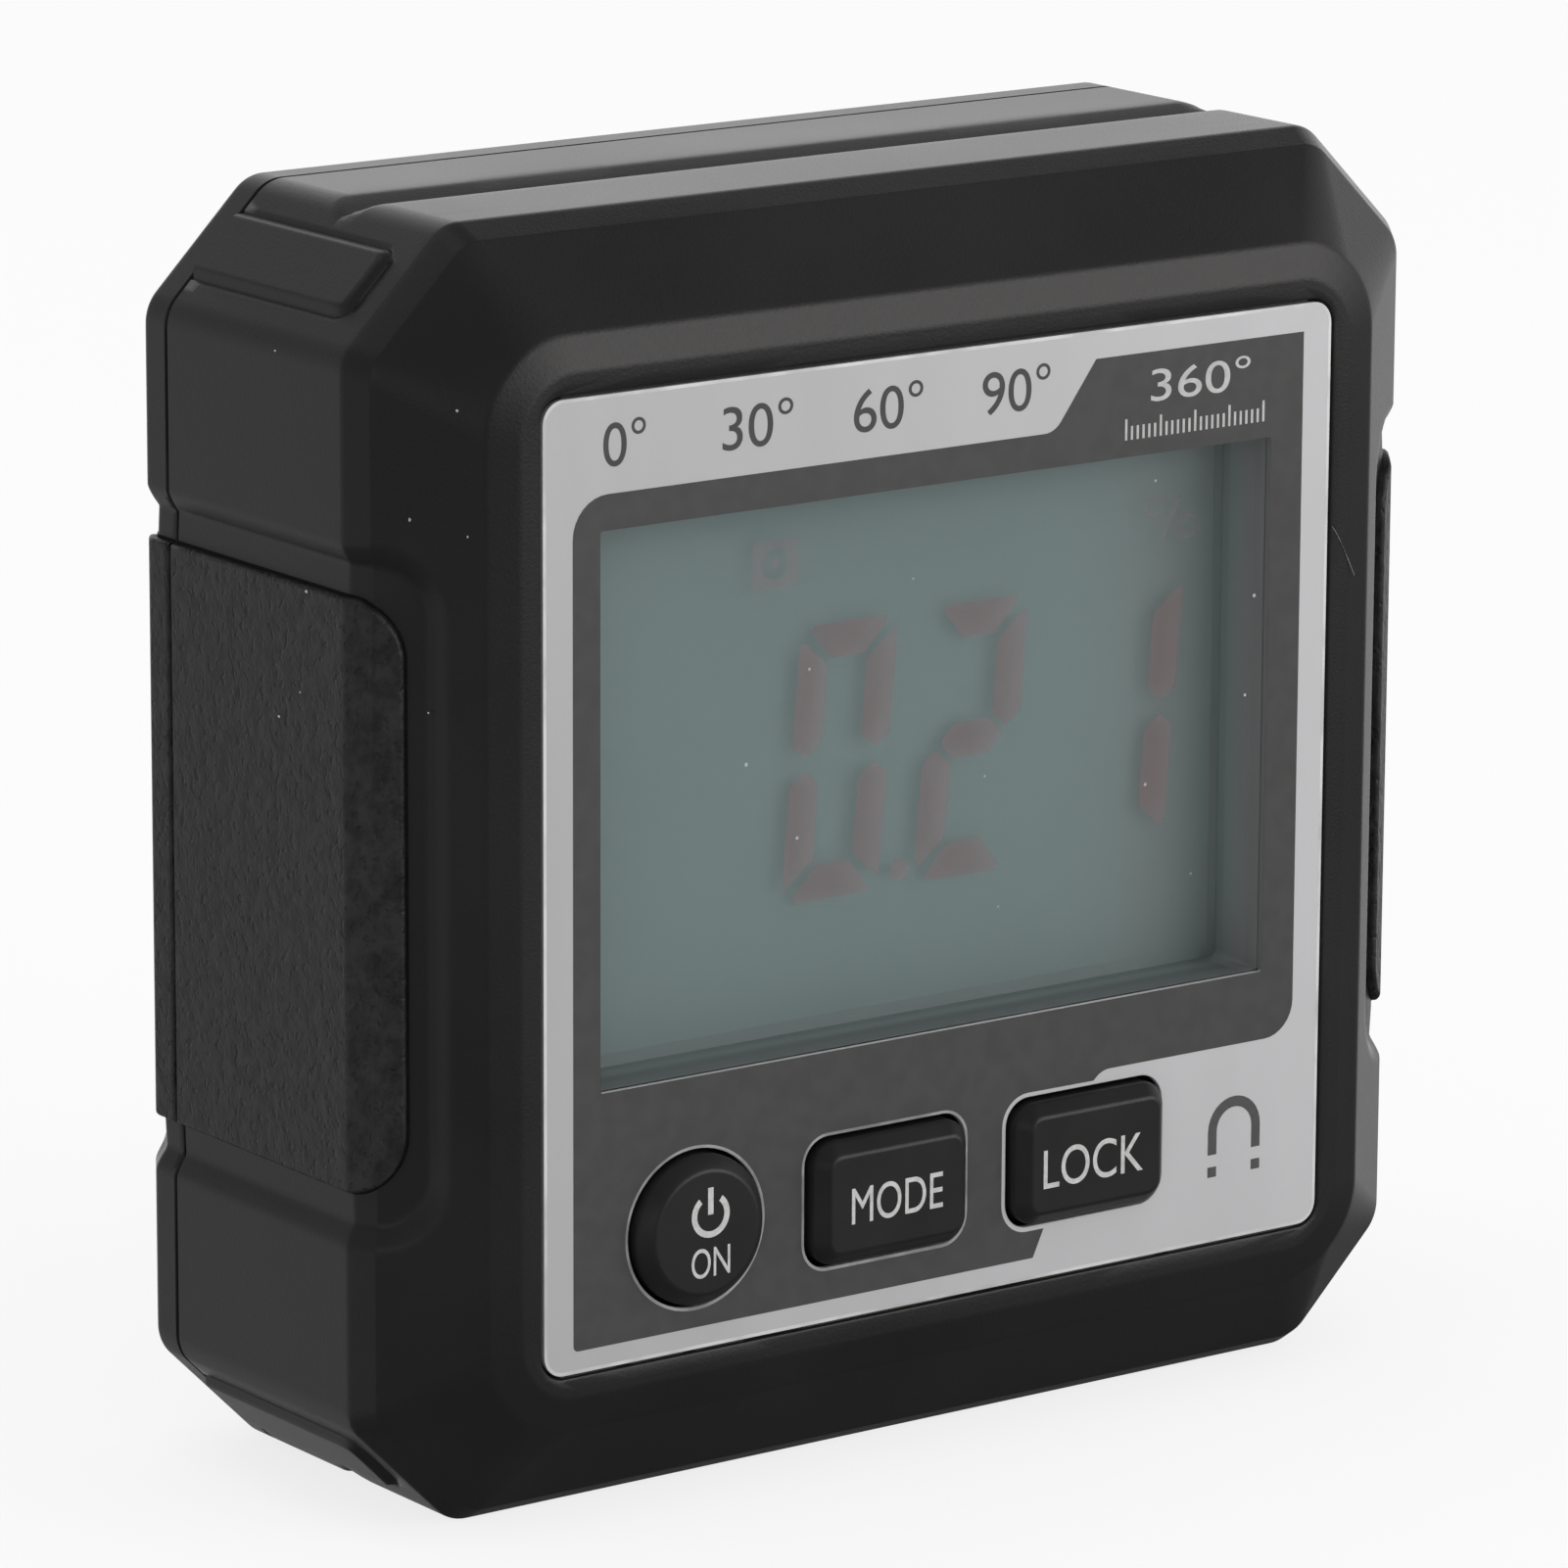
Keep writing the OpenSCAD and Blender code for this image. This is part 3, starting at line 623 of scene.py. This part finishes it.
pad_floor = filleted(set_in(pad_corners, GRIP_DEPTH, 1), [0, 0.5, 0.25, 0], [0, 5, 4, 0], pad_shares)
pad_run = lengths(pad_rows)


def pad(section, side, length, bend, top, wider):
    """A slab with rounded ends, bent round a section of the case, from top down to the floor."""
    bm = bmesh.new()
    verts = block(bm, (0, length + wider), (top, GRIP_DEPTH), (GRIP_LOW - wider, GRIP_HIGH + wider))
    soften(bm, [e for e in upright_edges(verts, 1) if e.verts[0].co.x > 1], bend + wider, 10)
    rim = [e for e in bm.edges if all(v.co.y < top + 0.07 for v in e.verts)]
    soften(bm, [e for e in rim if len(e.link_faces) == 2 and e.calc_face_angle() > 0.8], 0.2 - wider, 3)
    for cut_at in section[2]:
        if 0.05 < cut_at < length - 0.05:
            bmesh.ops.bisect_plane(
                bm, geom=bm.verts[:] + bm.edges[:] + bm.faces[:], plane_co=(cut_at, 0, 0), plane_no=(1, 0, 0),
            )
    for v in bm.verts:
        inset, y = wrapped(*section, v.co.x, v.co.y)
        v.co = (side * (HALF - inset), y, v.co.z)
    bmesh.ops.recalc_face_normals(bm, faces=bm.faces)
    return bm


# Painted shade: a near-black sheet under each pad, a little wider than it, so the gap round the pad reads
# dark.
gap_shade, skin, place = finish("gap_shade_film")
coat(skin, {
    "Base Color": speckle(place, 0.0004, 2).fade(0.3, 0.7).blend(grey(0.002), grey(0.004)),
    "Roughness": 0.75,
    "Specular IOR Level": 0.2,
})
for part, section, length, bend in (
    ("front", (front_rows, front_floor, front_run), 17.2, 2.8),
    ("rear", (pad_rows, pad_floor, pad_run), 4.4, 2.2),
):
    for side, name in ((-1, "left"), (1, "right")):
        bm = pad(section, side, length, bend, 0.03, 0)
        settle(bm, f"pad_{name}_{part}", "case", rubber, f"grip_{name}_{part}", 40)
        # The painted-shade sheet: it starts 0.42 mm down, under the pad's face, and is 0.13 mm wider all
        # round.
        bm = pad(section, side, length, bend, 0.42, 0.13)
        settle(bm, f"glue_{name}_{part}", "case", gap_shade)

# The front label: a silver film on a thin carrier, stuck into the recess of the housing and
# screen printed in dark grey, with openings for the window and the buttons.
silver, skin, place = finish("silver_film")
streaks = speckle(place.node("Mapping", {}, {"Vector": place, "Scale": (1, 1, 0.12)}), 0.004, 3)
flake = speckle(place, 0.00009, 2)
# Painted sheen: the film's colour runs lighter towards the lower right, where the front lamp's reflection
# falls; the streaks and flakes are the film's own grain.
painted_sheen_sweep = place.node("VectorMath", {"operation": "DOT_PRODUCT"}, {0: place, 1: (0.9, 0, -0.3)}, 1) + 0.009
grain_and_painted_sheen = streaks * 0.3 + flake * 0.1 + painted_sheen_sweep.fade(-0.024, 0.024) * 0.6
coat(skin, {
    "Base Color": grain_and_painted_sheen.blend((0.44, 0.445, 0.454, 1), (0.61, 0.617, 0.632, 1)),
    "Roughness": 0.4 + streaks * 0.1,
    "Metallic": 0.35,
    "Normal": relief(place, flake, 0.1, 0.00001),
})
settle(softened("front_label", 0.03, 1), "label_film", "case", silver, "front_label")


def rounded(points):
    """An outline in x and z whose corners are rounded by the third value of each point."""
    made = []
    for k, (x, z, bend) in enumerate(points):
        corner = Vector((x, z))
        if not bend:
            made.append(corner)
            continue
        into = (Vector(points[k - 1][:2]) - corner).normalized()
        away = (Vector(points[(k + 1) % len(points)][:2]) - corner).normalized()
        half = into.angle(away) / 2
        centre = corner + (into + away).normalized() * bend / math.sin(half)
        near = corner + into * bend / math.tan(half) - centre
        far = corner + away * bend / math.tan(half) - centre
        made += [centre + near.slerp(far, step / 8) * bend for step in range(9)]
    return made


def arc(x, z, radius, angles):
    return [(x + radius * math.cos(a), z + radius * math.sin(a)) for a in angles]


def circle(x, z, radius, steps=64):
    return arc(x, z, radius, [2 * math.pi * k / steps for k in range(steps)])


def frame_of(x, z, half_w, half_h, bend):
    return rounded([
        (x - half_w, z - half_h, bend), (x + half_w, z - half_h, bend),
        (x + half_w, z + half_h, bend), (x - half_w, z + half_h, bend),
    ])


def drawn(shape):
    """The mesh of a curve or of lettering."""
    piece = bpy.data.objects.new("drawn", shape)
    scene.collection.objects.link(piece)
    bpy.context.view_layer.update()
    mesh = bpy.data.meshes.new_from_object(piece.evaluated_get(bpy.context.evaluated_depsgraph_get()))
    bpy.data.objects.remove(piece)
    bm = bmesh.new()
    bm.from_mesh(mesh)
    return bm


def flat_mesh(shape, thick):
    """The mesh of a filled flat shape, standing up with its face to the front."""
    shape.extrude = thick / 2
    bm = drawn(shape)
    bmesh.ops.remove_doubles(bm, verts=bm.verts, dist=0.0005)
    bmesh.ops.rotate(bm, verts=bm.verts, cent=(0, 0, 0), matrix=Matrix.Rotation(math.pi / 2, 3, "X"))
    return bm


def printed(name, outlines, y, thick, body, material):
    """Ink in the form of closed outlines; an outline inside another one is a hole."""
    shape = bpy.data.curves.new(name, "CURVE")
    shape.dimensions = "2D"
    shape.fill_mode = "BOTH"
    for outline in outlines:
        line = shape.splines.new("POLY")
        line.points.add(len(outline) - 1)
        for point, place in zip(line.points, outline):
            point.co = (place[0], place[1], 0, 1)
        line.use_cyclic_u = True
    bm = flat_mesh(shape, thick)
    bmesh.ops.translate(bm, verts=bm.verts, vec=(0, y - thick / 2, 0))
    return settle(bm, name, body, material)


ink, skin, place = finish("dark_ink")
mottle = speckle(place, 0.0009, 3)
coat(skin, {
    "Base Color": mottle.fade(0.3, 0.7).blend(grey(0.05), grey(0.057)),
    "Roughness": 0.42 + mottle * 0.08,
    "Specular IOR Level": 0.4,
})
LABEL_FACE, INK, THIN_INK = 0.05, 0.012, 0.006
field = rounded([
    (-20.85, 8.58, 0.25), (5.36, 8.58, 0), (5.98, 9.92, 0), (3.465, 9.92, 1.5),
    (3.465, 16.68, 1.5), (8.85, 16.65, 0), (9.35, 17.1, 1.2), (20.85, 17.1, 1.7),
    (20.8, 51.12, 0), (8.47, 51.12, 0), (6.1, 47.93, 1.2), (-20.85, 47.95, 1.9),
])
window_hole = frame_of(window_x, window_z, window_w - 0.035, window_h, 0.15)
power_hole = circle(POWER_X, KEY_Z, 3.9)
mode_hole = frame_of(MODE_X, KEY_Z, 4.78, 3.3, 1.45)
printed(
    "label_field", [field, window_hole, power_hole, mode_hole],
    LABEL_FACE, INK, "case", ink,
)
worn, skin, place = finish("worn_silver")
wear_and_glint = speckle(place, 0.0016, 3)
coat(skin, {
    "Base Color": wear_and_glint.fade(0.35, 0.65).blend(grey(0.24), grey(0.4)),
    "Roughness": 0.4 + wear_and_glint * 0.1,
    "Metallic": 0.3,
})
printed(
    "key_rings",
    [power_hole, circle(POWER_X, KEY_Z, 3.76), mode_hole, frame_of(MODE_X, KEY_Z, 4.64, 3.16, 1.31)],
    LABEL_FACE, THIN_INK, "case", worn,
)
# Painted highlight: a pale silver ring printed just inside the label's border, standing for the light that
# the film's rounded edge catches.
edge_highlight, skin, place = finish("painted_edge_highlight")
wear_and_glint = speckle(place, 0.003, 3)
coat(skin, {
    "Base Color": wear_and_glint.fade(0.35, 0.65).blend(grey(0.54), grey(0.74)),
    "Roughness": 0.3 + wear_and_glint * 0.1,
    "Metallic": 0.3,
})
printed(
    "label_edge_highlight", [frame_of(0, HALF, 22.45, 22.45, 1.05), frame_of(0, HALF, 22.29, 22.29, 0.89)],
    LABEL_FACE, THIN_INK, "case", edge_highlight,
)


def lettering(name, words, left, low, width, height, y, body, material):
    """Lettering in a plain face, fitted between its left edge, foot, width and height."""
    shape = bpy.data.curves.new(name, "FONT")
    shape.body = words
    bm = flat_mesh(shape, 0.01)
    extent = [[v.co[axis] for v in bm.verts] for axis in (0, 2)]
    across, tall = (max(values) - min(values) for values in extent)
    bmesh.ops.translate(bm, verts=bm.verts, vec=(-min(extent[0]), 0, -min(extent[1])))
    bmesh.ops.scale(bm, verts=bm.verts, vec=(width / across, 1, height / tall))
    bmesh.ops.translate(bm, verts=bm.verts, vec=(left, y - 0.005, low))
    return settle(bm, name, body, material)


pale_ink, skin, place = finish("pale_ink")
coat(skin, {
    "Base Color": speckle(place, 0.0004, 2).fade(0.3, 0.7).blend(grey(0.4), grey(0.47)),
    "Roughness": 0.45,
})
numbers = (("0\u00b0", -19.2, 2.3), ("30\u00b0", -12.7, 3.9), ("60\u00b0", -5.4, 3.9), ("90\u00b0", 1.9, 3.9))
for k, (words, left, width) in enumerate(numbers):
    lettering(f"header_number_{k}", words, left, 49.15, width, 2.1, LABEL_FACE, "case", ink)
ON_INK = LABEL_FACE - INK
lettering("tab_number", "360\u00b0", 11.7, 48.75, 5.9, 1.6, ON_INK, "case", pale_ink)
ticks = []
for k in range(25):
    x = 10.2 + 0.34 * k
    top = 47.75 + 0.35 * (k % 6 == 0)
    ticks.append([(x, 47.1), (x + 0.13, 47.1), (x + 0.13, top), (x, top)])
printed("tab_ticks", ticks, ON_INK, 0.01, "case", pale_ink)

half_turn = [math.pi * k / 16 for k in range(17)]
arch = arc(17.4, 12.98, 1.58, half_turn)
hollow = arc(17.4, 12.98, 1.06, reversed(half_turn))
sign_ink, skin, place = finish("sign_ink")
coat(skin, {
    "Base Color": speckle(place, 0.0005, 2).fade(0.3, 0.7).blend(grey(0.065), grey(0.075)),
    "Roughness": 0.42,
    "Specular IOR Level": 0.4,
})
printed(
    "magnet_sign",
    [
        [(18.98, 11.85)] + arch + [(15.82, 11.85), (16.34, 11.85)] + hollow + [(18.46, 11.85)],
        [(15.82, 10.75), (16.34, 10.75), (16.34, 11.25), (15.82, 11.25)],
        [(18.46, 10.75), (18.98, 10.75), (18.98, 11.25), (18.46, 11.25)],
    ],
    LABEL_FACE, INK, "case", sign_ink,
)

# The window: a clear acrylic pane with polished edges. It lies behind the label, in a pocket of
# the housing.


def clear(name, gloss):
    """A clear finish: light goes straight through, and the surface mirrors at low angles."""
    made = bpy.data.materials.new(name)
    made.use_nodes = True
    tree = made.node_tree
    tree.nodes.clear()
    facing = Tone(tree.nodes.new("ShaderNodeLayerWeight").outputs["Facing"])
    rim = 0.04 + facing.maths("POWER", facing, 5) * 0.96
    through = rim.node("BsdfTransparent", {}, {"Color": (0.96, 0.97, 0.97, 1)})
    shine = rim.node("BsdfGlossy", {}, {"Color": grey(1), "Roughness": gloss})
    both = rim.node("MixShader", {}, {0: rim, 1: through, 2: shine})
    both.node("OutputMaterial", {}, {"Surface": both})
    return made


acrylic = clear("clear_acrylic", 0.12)
settle(softened("display_window", 0.06), "window_pane", "case", acrylic, "display_window")

# The display: a reflective liquid crystal cell in a grey rim. The segments lie in a clear front
# plate, a little before the grey-green reflector, on which they throw a soft shadow.
LCD_FILM, LCD_BACK = 3.0, 3.6
reflector, skin, place = finish("lcd_reflector")
satin = speckle(place, 0.00012, 2)
cast = speckle(place, 0.03, 2)
green = (satin * 0.4 + cast * 0.6).fade(0.3, 0.7).blend((0.21, 0.268, 0.262, 1), (0.228, 0.288, 0.282, 1))
across = place.node("SeparateXYZ", {}, {"Vector": place}, 0)
coat(skin, {
    "Base Color": (across.fade(0.009, 0.0175) * 0.6).blend(green, (0.207, 0.221, 0.22, 1)),
    "Roughness": 0.55,
    "Specular IOR Level": 0.3,
})
LAP = 2
wide, tall = window_w + LAP, window_h + LAP
bm = bmesh.new()
block(bm, (window_x - wide, window_x + wide), (LCD_BACK, 4.6), (window_z - tall, window_z + tall))
soften(bm, bm.edges[:], 0.1, 2)
settle(bm, "lcd_cell", "case", reflector, "lcd_panel")

gasket, skin, place = finish("lcd_rim")
fuzz = speckle(place, 0.0003, 2)
depth = place.node("SeparateXYZ", {}, {"Vector": place}, 1)
across = place.node("SeparateXYZ", {}, {"Vector": place}, 0)


def sunk(low, high):
    """Runs from 0 to 1 between two depths under the front face."""
    return depth.fade((FRONT + low) / 1000, (FRONT + high) / 1000)


# Painted light and shade: the side wall on the right is coloured lighter than the sill and the other walls,
# though all are one grey moulding; the difference stands in for how light falls in the well. By depth the
# side wall runs from a darker front lip through grey to grey-green, with a darker band at its foot; the sill
# turns lighter and greener with depth.
deeper = sunk(1.8, 2.7)
lip = sunk(0.3, 0.5).blend(grey(0.14), (0.21, 0.21, 0.213, 1))
painted_lighter_wall = sunk(1.1, 1.6).blend(lip, (0.27, 0.27, 0.273, 1))
painted_lighter_wall = (deeper * 0.95 + fuzz * 0.05).blend(painted_lighter_wall, (0.26, 0.295, 0.293, 1))
painted_lighter_wall = sunk(LCD_BACK - 0.12, LCD_BACK - 0.03).blend(painted_lighter_wall, (0.185, 0.207, 0.206, 1))
painted_darker_sill = (deeper * 0.95 + fuzz * 0.05).blend((0.13, 0.148, 0.148, 1), (0.2, 0.235, 0.235, 1))
coat(skin, {
    "Base Color": across.fade(0.0178, 0.0184).blend(painted_darker_sill, painted_lighter_wall),
    "Roughness": 0.6,
})
ledge = (window_x - 0.11, window_z + 0.175, window_w - 0.41, window_h - 0.475, 0.15)
rings = [
    oblong(window_x, window_z, window_w - 0.05, window_h - 0.05, 0.05, 0.36),
    oblong(window_x, window_z, window_w + 0.4, window_h + 0.4, 0.3, 1.5),
    oblong(window_x, window_z, wide, tall, 0.3, 2.41),
    oblong(window_x, window_z, wide, tall, 0.3, LCD_BACK - 0.02),
    oblong(*ledge, LCD_BACK + 0.02),
    oblong(*ledge, LCD_BACK - 0.015),
    oblong(window_x, window_z, window_w - 0.05, window_h - 0.05, 0.36, LCD_BACK - 0.02),
]
bm = loft(rings, True)
right = window_x + window_w
block(bm, (right - 0.025, right - 0.002), (0.052, 0.37), (window_z - window_h + 0.05, window_z + window_h))
settle(bm, "lcd_rim", "case", gasket)


def bars(lit, x, z):
    """The lit bars of one slanted digit, seven at most, clockwise from the top, then the middle."""
    a, b, t, g = 2.75, 6.45, 1.6, 0.24
    shapes = [
        [(g + 0.2 - a, b), (a - g - 0.2, b), (a - t - g, b - t), (t + g - a, b - t)],
        [(a, b - g - 0.35), (a, 0.95), (a - 0.75, 0.36), (a - t, 1.05), (a - t, b - t - g - 0.05)],
        [(a, g + 0.35 - b), (a, -0.95), (a - 0.75, -0.36), (a - t, -1.05), (a - t, t + g + 0.05 - b)],
        [(g + 0.2 - a, -b), (a - g - 0.2, -b), (a - t - g, t - b), (t + g - a, t - b)],
        [(-a, g + 0.35 - b), (-a, -0.95), (0.75 - a, -0.36), (t - a, -1.05), (t - a, t + g + 0.05 - b)],
        [(-a, b - g - 0.35), (-a, 0.95), (0.75 - a, 0.36), (t - a, 1.05), (t - a, b - t - g - 0.05)],
        [(0.95 - a, 0), (1.75 - a, 0.8), (a - 1.75, 0.8), (a - 0.95, 0), (a - 1.75, -0.8), (1.75 - a, -0.8)],
    ]
    return [[(x + px + pz * 0.085, z + pz) for px, pz in shapes[k]] for k in lit]


def spread(corners, by):
    """A closed outline with every side moved outwards by the same distance, and rounded corners."""
    places = [Vector(corner) for corner in corners]
    turn = math.copysign(1, sum(places[k - 1].cross(places[k]) for k in range(len(places))))
    made = []
    for k, place in enumerate(places):
        runs = [(place - places[k - 1]).normalized(), (places[(k + 1) % len(places)] - place).normalized()]
        shift = sum((Vector((run.y, -run.x)) * turn for run in runs), Vector((0, 0)))
        made.append((*(place + shift * by * 2 / shift.length_squared), 0.2))
    return rounded(made)


def veil(name, dark, light, cover):
    """A finish that covers what lies behind it only in part."""
    made, skin, place = finish(name)
    coat(skin, {
        "Base Color": speckle(place, 0.0005, 2).fade(0.3, 0.7).blend(dark, light),
        "Roughness": 0.6,
        "Alpha": cover,
    })
    return made


digits = bars((0, 1, 2, 3, 4, 5), -3.9, 33.3) + bars((0, 1, 6, 4, 3), 3.68, 33.3) + bars((1, 2), 12.9, 33.3)
tint = veil("lcd_tint", (0.28, 0.125, 0.145, 1), (0.3, 0.135, 0.155, 1), 0.33)
segments = [spread(corners, 0.03) for corners in digits] + [circle(-0.43, 27.6, 0.5, 24)]
printed("lcd_digits", segments, LCD_FILM, 0, "case", tint)
faint = veil("lcd_faint", (0.3, 0.15, 0.175, 1), (0.33, 0.16, 0.185, 1), 0.2)
slash = [(14.75, 41.35), (15.0, 41.35), (16.05, 43.45), (15.8, 43.45)]
signs = [slash, circle(14.4, 43.0, 0.62, 24), circle(14.4, 43.0, 0.42, 24)]
signs += [circle(16.35, 41.85, 0.62, 24), circle(16.35, 41.85, 0.42, 24)]
signs += [frame_of(-7.62, 42.9, 1.3, 1.12, 0.1)]
signs += [circle(-7.62, 42.9, 0.72, 24), circle(-7.62, 42.9, 0.28, 24)]
printed("lcd_signs", signs, LCD_FILM, 0, "case", faint)
plate = frame_of(window_x, window_z, window_w - 0.06, window_h - 0.06, 0.05)
glass = clear("clear_plate", 0.2)
printed("lcd_plate", [plate] + segments + signs, LCD_FILM, 0, "case", glass)

# The buttons: moulded caps with chamfered tops, each with a flange behind the housing and a
# stem down to its switch. The legends are pad printed.
cap, skin, place = finish("key_plastic")
grain = speckle(place, 0.0002, 2)
coat(skin, {
    "Base Color": speckle(place, 0.004, 2).fade(0.3, 0.7).blend(grey(0.009), grey(0.012)),
    "Roughness": 0.38 + grain * 0.12,
    "Specular IOR Level": 0.45,
    "Normal": relief(place, grain, 0.15, 0.00002),
})
TOP, FLANGE, STEM, STEM_END = -0.93, 2.4, 3.2, 5.65


def crown(bm):
    """Chamfers the top of a cap and rounds the edges that this leaves."""
    top = [e for e in bm.edges if all(v.co.y < TOP + 0.01 for v in e.verts)]
    soften(bm, top, 0.62, 1)
    proud = [e for e in bm.edges if all(v.co.y < 0 for v in e.verts)]
    soften(bm, [e for e in proud if e.is_manifold and e.calc_face_angle() > 0.5], 0.14, 3)


bm = bmesh.new()
drum(bm, POWER_X, KEY_Z, 3.55, TOP, FLANGE, 72)
crown(bm)
drum(bm, POWER_X, KEY_Z, 4.35, FLANGE, STEM, 48)
drum(bm, POWER_X, KEY_Z, 1.5, STEM, STEM_END, 32)
settle(bm, "cap_power", "power_button", cap, "button_power")
for x, name, body in ((MODE_X, "unit", "unit_button"), (LOCK_X, "hold", "hold_button")):
    bm = bmesh.new()
    verts = block(bm, (x - 4.425, x + 4.425), (TOP, FLANGE), (KEY_Z - 2.95, KEY_Z + 2.95))
    soften(bm, upright_edges(verts, 1), 1.25, 8)
    crown(bm)
    verts = block(bm, (x - 5.225, x + 5.225), (FLANGE, STEM), (KEY_Z - 3.75, KEY_Z + 3.75))
    soften(bm, upright_edges(verts, 1), 1.6, 4)
    drum(bm, x, KEY_Z, 1.5, STEM, STEM_END, 32)
    settle(bm, f"cap_{name}", body, cap, f"button_{name}")

legend, skin, place = finish("legend_ink")
coat(skin, {
    "Base Color": speckle(place, 0.0003, 2).fade(0.3, 0.7).blend(grey(0.42), grey(0.52)),
    "Roughness": 0.5,
})
sweep = [math.radians(128 + 284 * k / 28) for k in range(29)]
ring = arc(-13.94, 14.12, 1.06, sweep) + arc(-13.94, 14.12, 0.76, reversed(sweep))
mast = [(-14.09, 14.15), (-13.79, 14.15), (-13.79, 15.42), (-14.09, 15.42)]
printed("sign_power", [ring, mast], TOP, 0.01, "power_button", legend)
lettering("legend_on", "ON", -15.0, 11.2, 2.15, 1.4, TOP, "power_button", legend)
lettering("legend_mode", "MODE", -5.95, 12.3, 5.25, 1.75, TOP, "unit_button", legend)
lettering("legend_lock", "LOCK", 5.2, 12.15, 5.9, 1.9, TOP, "hold_button", legend)

# The electronics: a green glass-fibre board with the chips and tact switches soldered to it,
# a white spacer frame and a pink elastomer strip that joins the display to the board.


def dress(nodes, material):
    for node in nodes:
        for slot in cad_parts[node].material_slots:
            slot.material = material


def plain(name, dark, light, rough, metal, size):
    made, skin, place = finish(name)
    patch = speckle(place, size, 3)
    coat(skin, {
        "Base Color": patch.fade(0.3, 0.7).blend(dark, light),
        "Roughness": rough + patch * 0.1,
        "Metallic": metal,
        "Normal": relief(place, patch, 0.15, size * 0.05),
    })
    return made


for nodes, name, dark, light, rough, size in (
    (["circuit_board"], "board_mask", (0.008, 0.09, 0.045, 1), (0.012, 0.13, 0.065, 1), 0.32, 0.0012),
    (["controller_chip", "tilt_sensor"], "chip_epoxy", grey(0.012), grey(0.02), 0.5, 0.0004),
    (["switch_power", "switch_unit", "switch_hold"], "switch_shell", grey(0.03), grey(0.05), 0.42, 0.0006),
    (["lcd_frame"], "spacer_white", grey(0.68), grey(0.74), 0.45, 0.0009),
    (["lcd_connector"], "elastomer_pink", (0.62, 0.28, 0.33, 1), (0.68, 0.33, 0.38, 1), 0.6, 0.0005),
):
    dress(nodes, plain(name, dark, light, rough, 0, size))

# The batteries: two AAA cells in plain sleeves, laid side by side and head to foot in the bay,
# between nickel-plated spring contacts.
plated = plain("nickel_plate", grey(0.55), grey(0.66), 0.22, 1, 0.0007)
dress(["contact_bridge", "contact_plus", "contact_minus"], plated)
for name, up in (("cell_left", 1), ("cell_right", -1)):
    sleeve, skin, place = finish("sleeve_" + name)
    height = place.node("SeparateXYZ", {}, {"Vector": place}, 2)
    scuff = speckle(place, 0.0008, 3)
    headward = (height - HALF / 1000) * (1000 * up)
    footward = (height - HALF / 1000) * (-1000 * up)
    band = headward > 11
    ends = (headward > 21.2) + (footward > 22.1)
    wrap = band.blend((0.24, 0.25, 0.26, 1), (0.05, 0.075, 0.1, 1))
    coat(skin, {
        "Base Color": ends.blend(wrap, (0.6, 0.6, 0.61, 1)),
        "Metallic": 0.35 + ends * 0.6,
        "Roughness": 0.26 + scuff * 0.12,
    })
    settle(softened(name, 0.35, 3), "jacket_" + name, "case", sleeve, name)

# The base magnets: four nickel-plated discs, pressed from below into round pockets of the base,
# before and behind the groove.
disc = plain("magnet_nickel", grey(0.5), grey(0.6), 0.28, 1, 0.0005)
for spot_name in ("front_left", "front_right", "rear_left", "rear_right"):
    bm = softened("magnet_" + spot_name, 0.2, 3)
    settle(bm, "disc_" + spot_name, "case", disc, "magnet_" + spot_name)

# The screws: zinc-plated pan heads with a cross recess, four through the cover into the bosses
# of the housing and two that hold the board.
zinc = plain("zinc_plate", grey(0.42), grey(0.52), 0.3, 1, 0.0004)
screws = settle(softened("case_screws", 0.3, 3), "cover_screws", "case", zinc, "case_screws")
for wide, tall in ((1.15, 0.22), (0.22, 1.15)):
    tools = bmesh.new()
    for x, z in SCREWS:
        block(tools, (x - wide, x + wide), (20.45, 22), (z - tall, z + tall))
    cut(screws, tools)
dress(["board_screws"], zinc)

# Dust: pale specks that lie on the label's window, the side, the bevel and a grip, and one thin
# grey fibre on the front beside the label.
lint, skin, place = finish("lint")
coat(skin, {
    "Base Color": speckle(place, 0.0002, 2).fade(0.3, 0.7).blend(grey(0.32), grey(0.5)),
    "Roughness": 0.8,
})
bm = bmesh.new()
on_pane = [
    (-1.77, 41.98), (-7.62, 38.49), (-11.14, 34.52), (2.45, 32.14), (11.92, 30.47), (3.32, 25.82),
    (17.84, 34.0), (18.3, 38.73), (12.28, 44.92), (-8.26, 30.7), (14.74, 25.77),
]
on_side = [(14.24, 47.6), (16.01, 46.36), (10.05, 54.03), (7.66, 43.54), (8.23, 38.85), (9.99, 37.42)]
on_bevel = [
    (-27.92, 2.46, 47.44), (-25.89, 0.91, 46.69), (-26.7, 1.9, 43.76),
    (-27.14, 2.2, 38.67), (-26.24, 1.17, 52.33),
]
grains = [(x, 0.33, z) for x, z in on_pane] + [(-29.96, y, z) for y, z in on_side] + on_bevel
for k, grain in enumerate(grains):
    size = 0.06 + 0.045 * ((k * 7) % 5) / 4
    flat = (1, 0.3, 1, 1) if k < len(on_pane) else (0.3, 1.5, 0.9, 1)
    bmesh.ops.create_icosphere(
        bm, subdivisions=1, radius=size, matrix=Matrix.Translation(grain) @ Matrix.Diagonal(flat),
    )
settle(bm, "dust_specks", "case", lint)
thread = bpy.data.curves.new("fibre", "CURVE")
thread.dimensions = "3D"
thread.bevel_depth = 0.02
thread.bevel_resolution = 2
line = thread.splines.new("NURBS")
line.points.add(3)
for point, place in zip(line.points, ((22.68, 41.59), (23.05, 41.2), (23.5, 40.3), (24.12, 39.05))):
    point.co = (place[0], -0.02, place[1], 1)
line.use_endpoint_u = True
fluff, skin, place = finish("fluff")
coat(skin, {
    "Base Color": speckle(place, 0.0004, 2).fade(0.35, 0.65).blend(grey(0.07), grey(0.2)),
    "Roughness": 0.8,
})
settle(drawn(thread), "dust_fibre", "case", fluff)
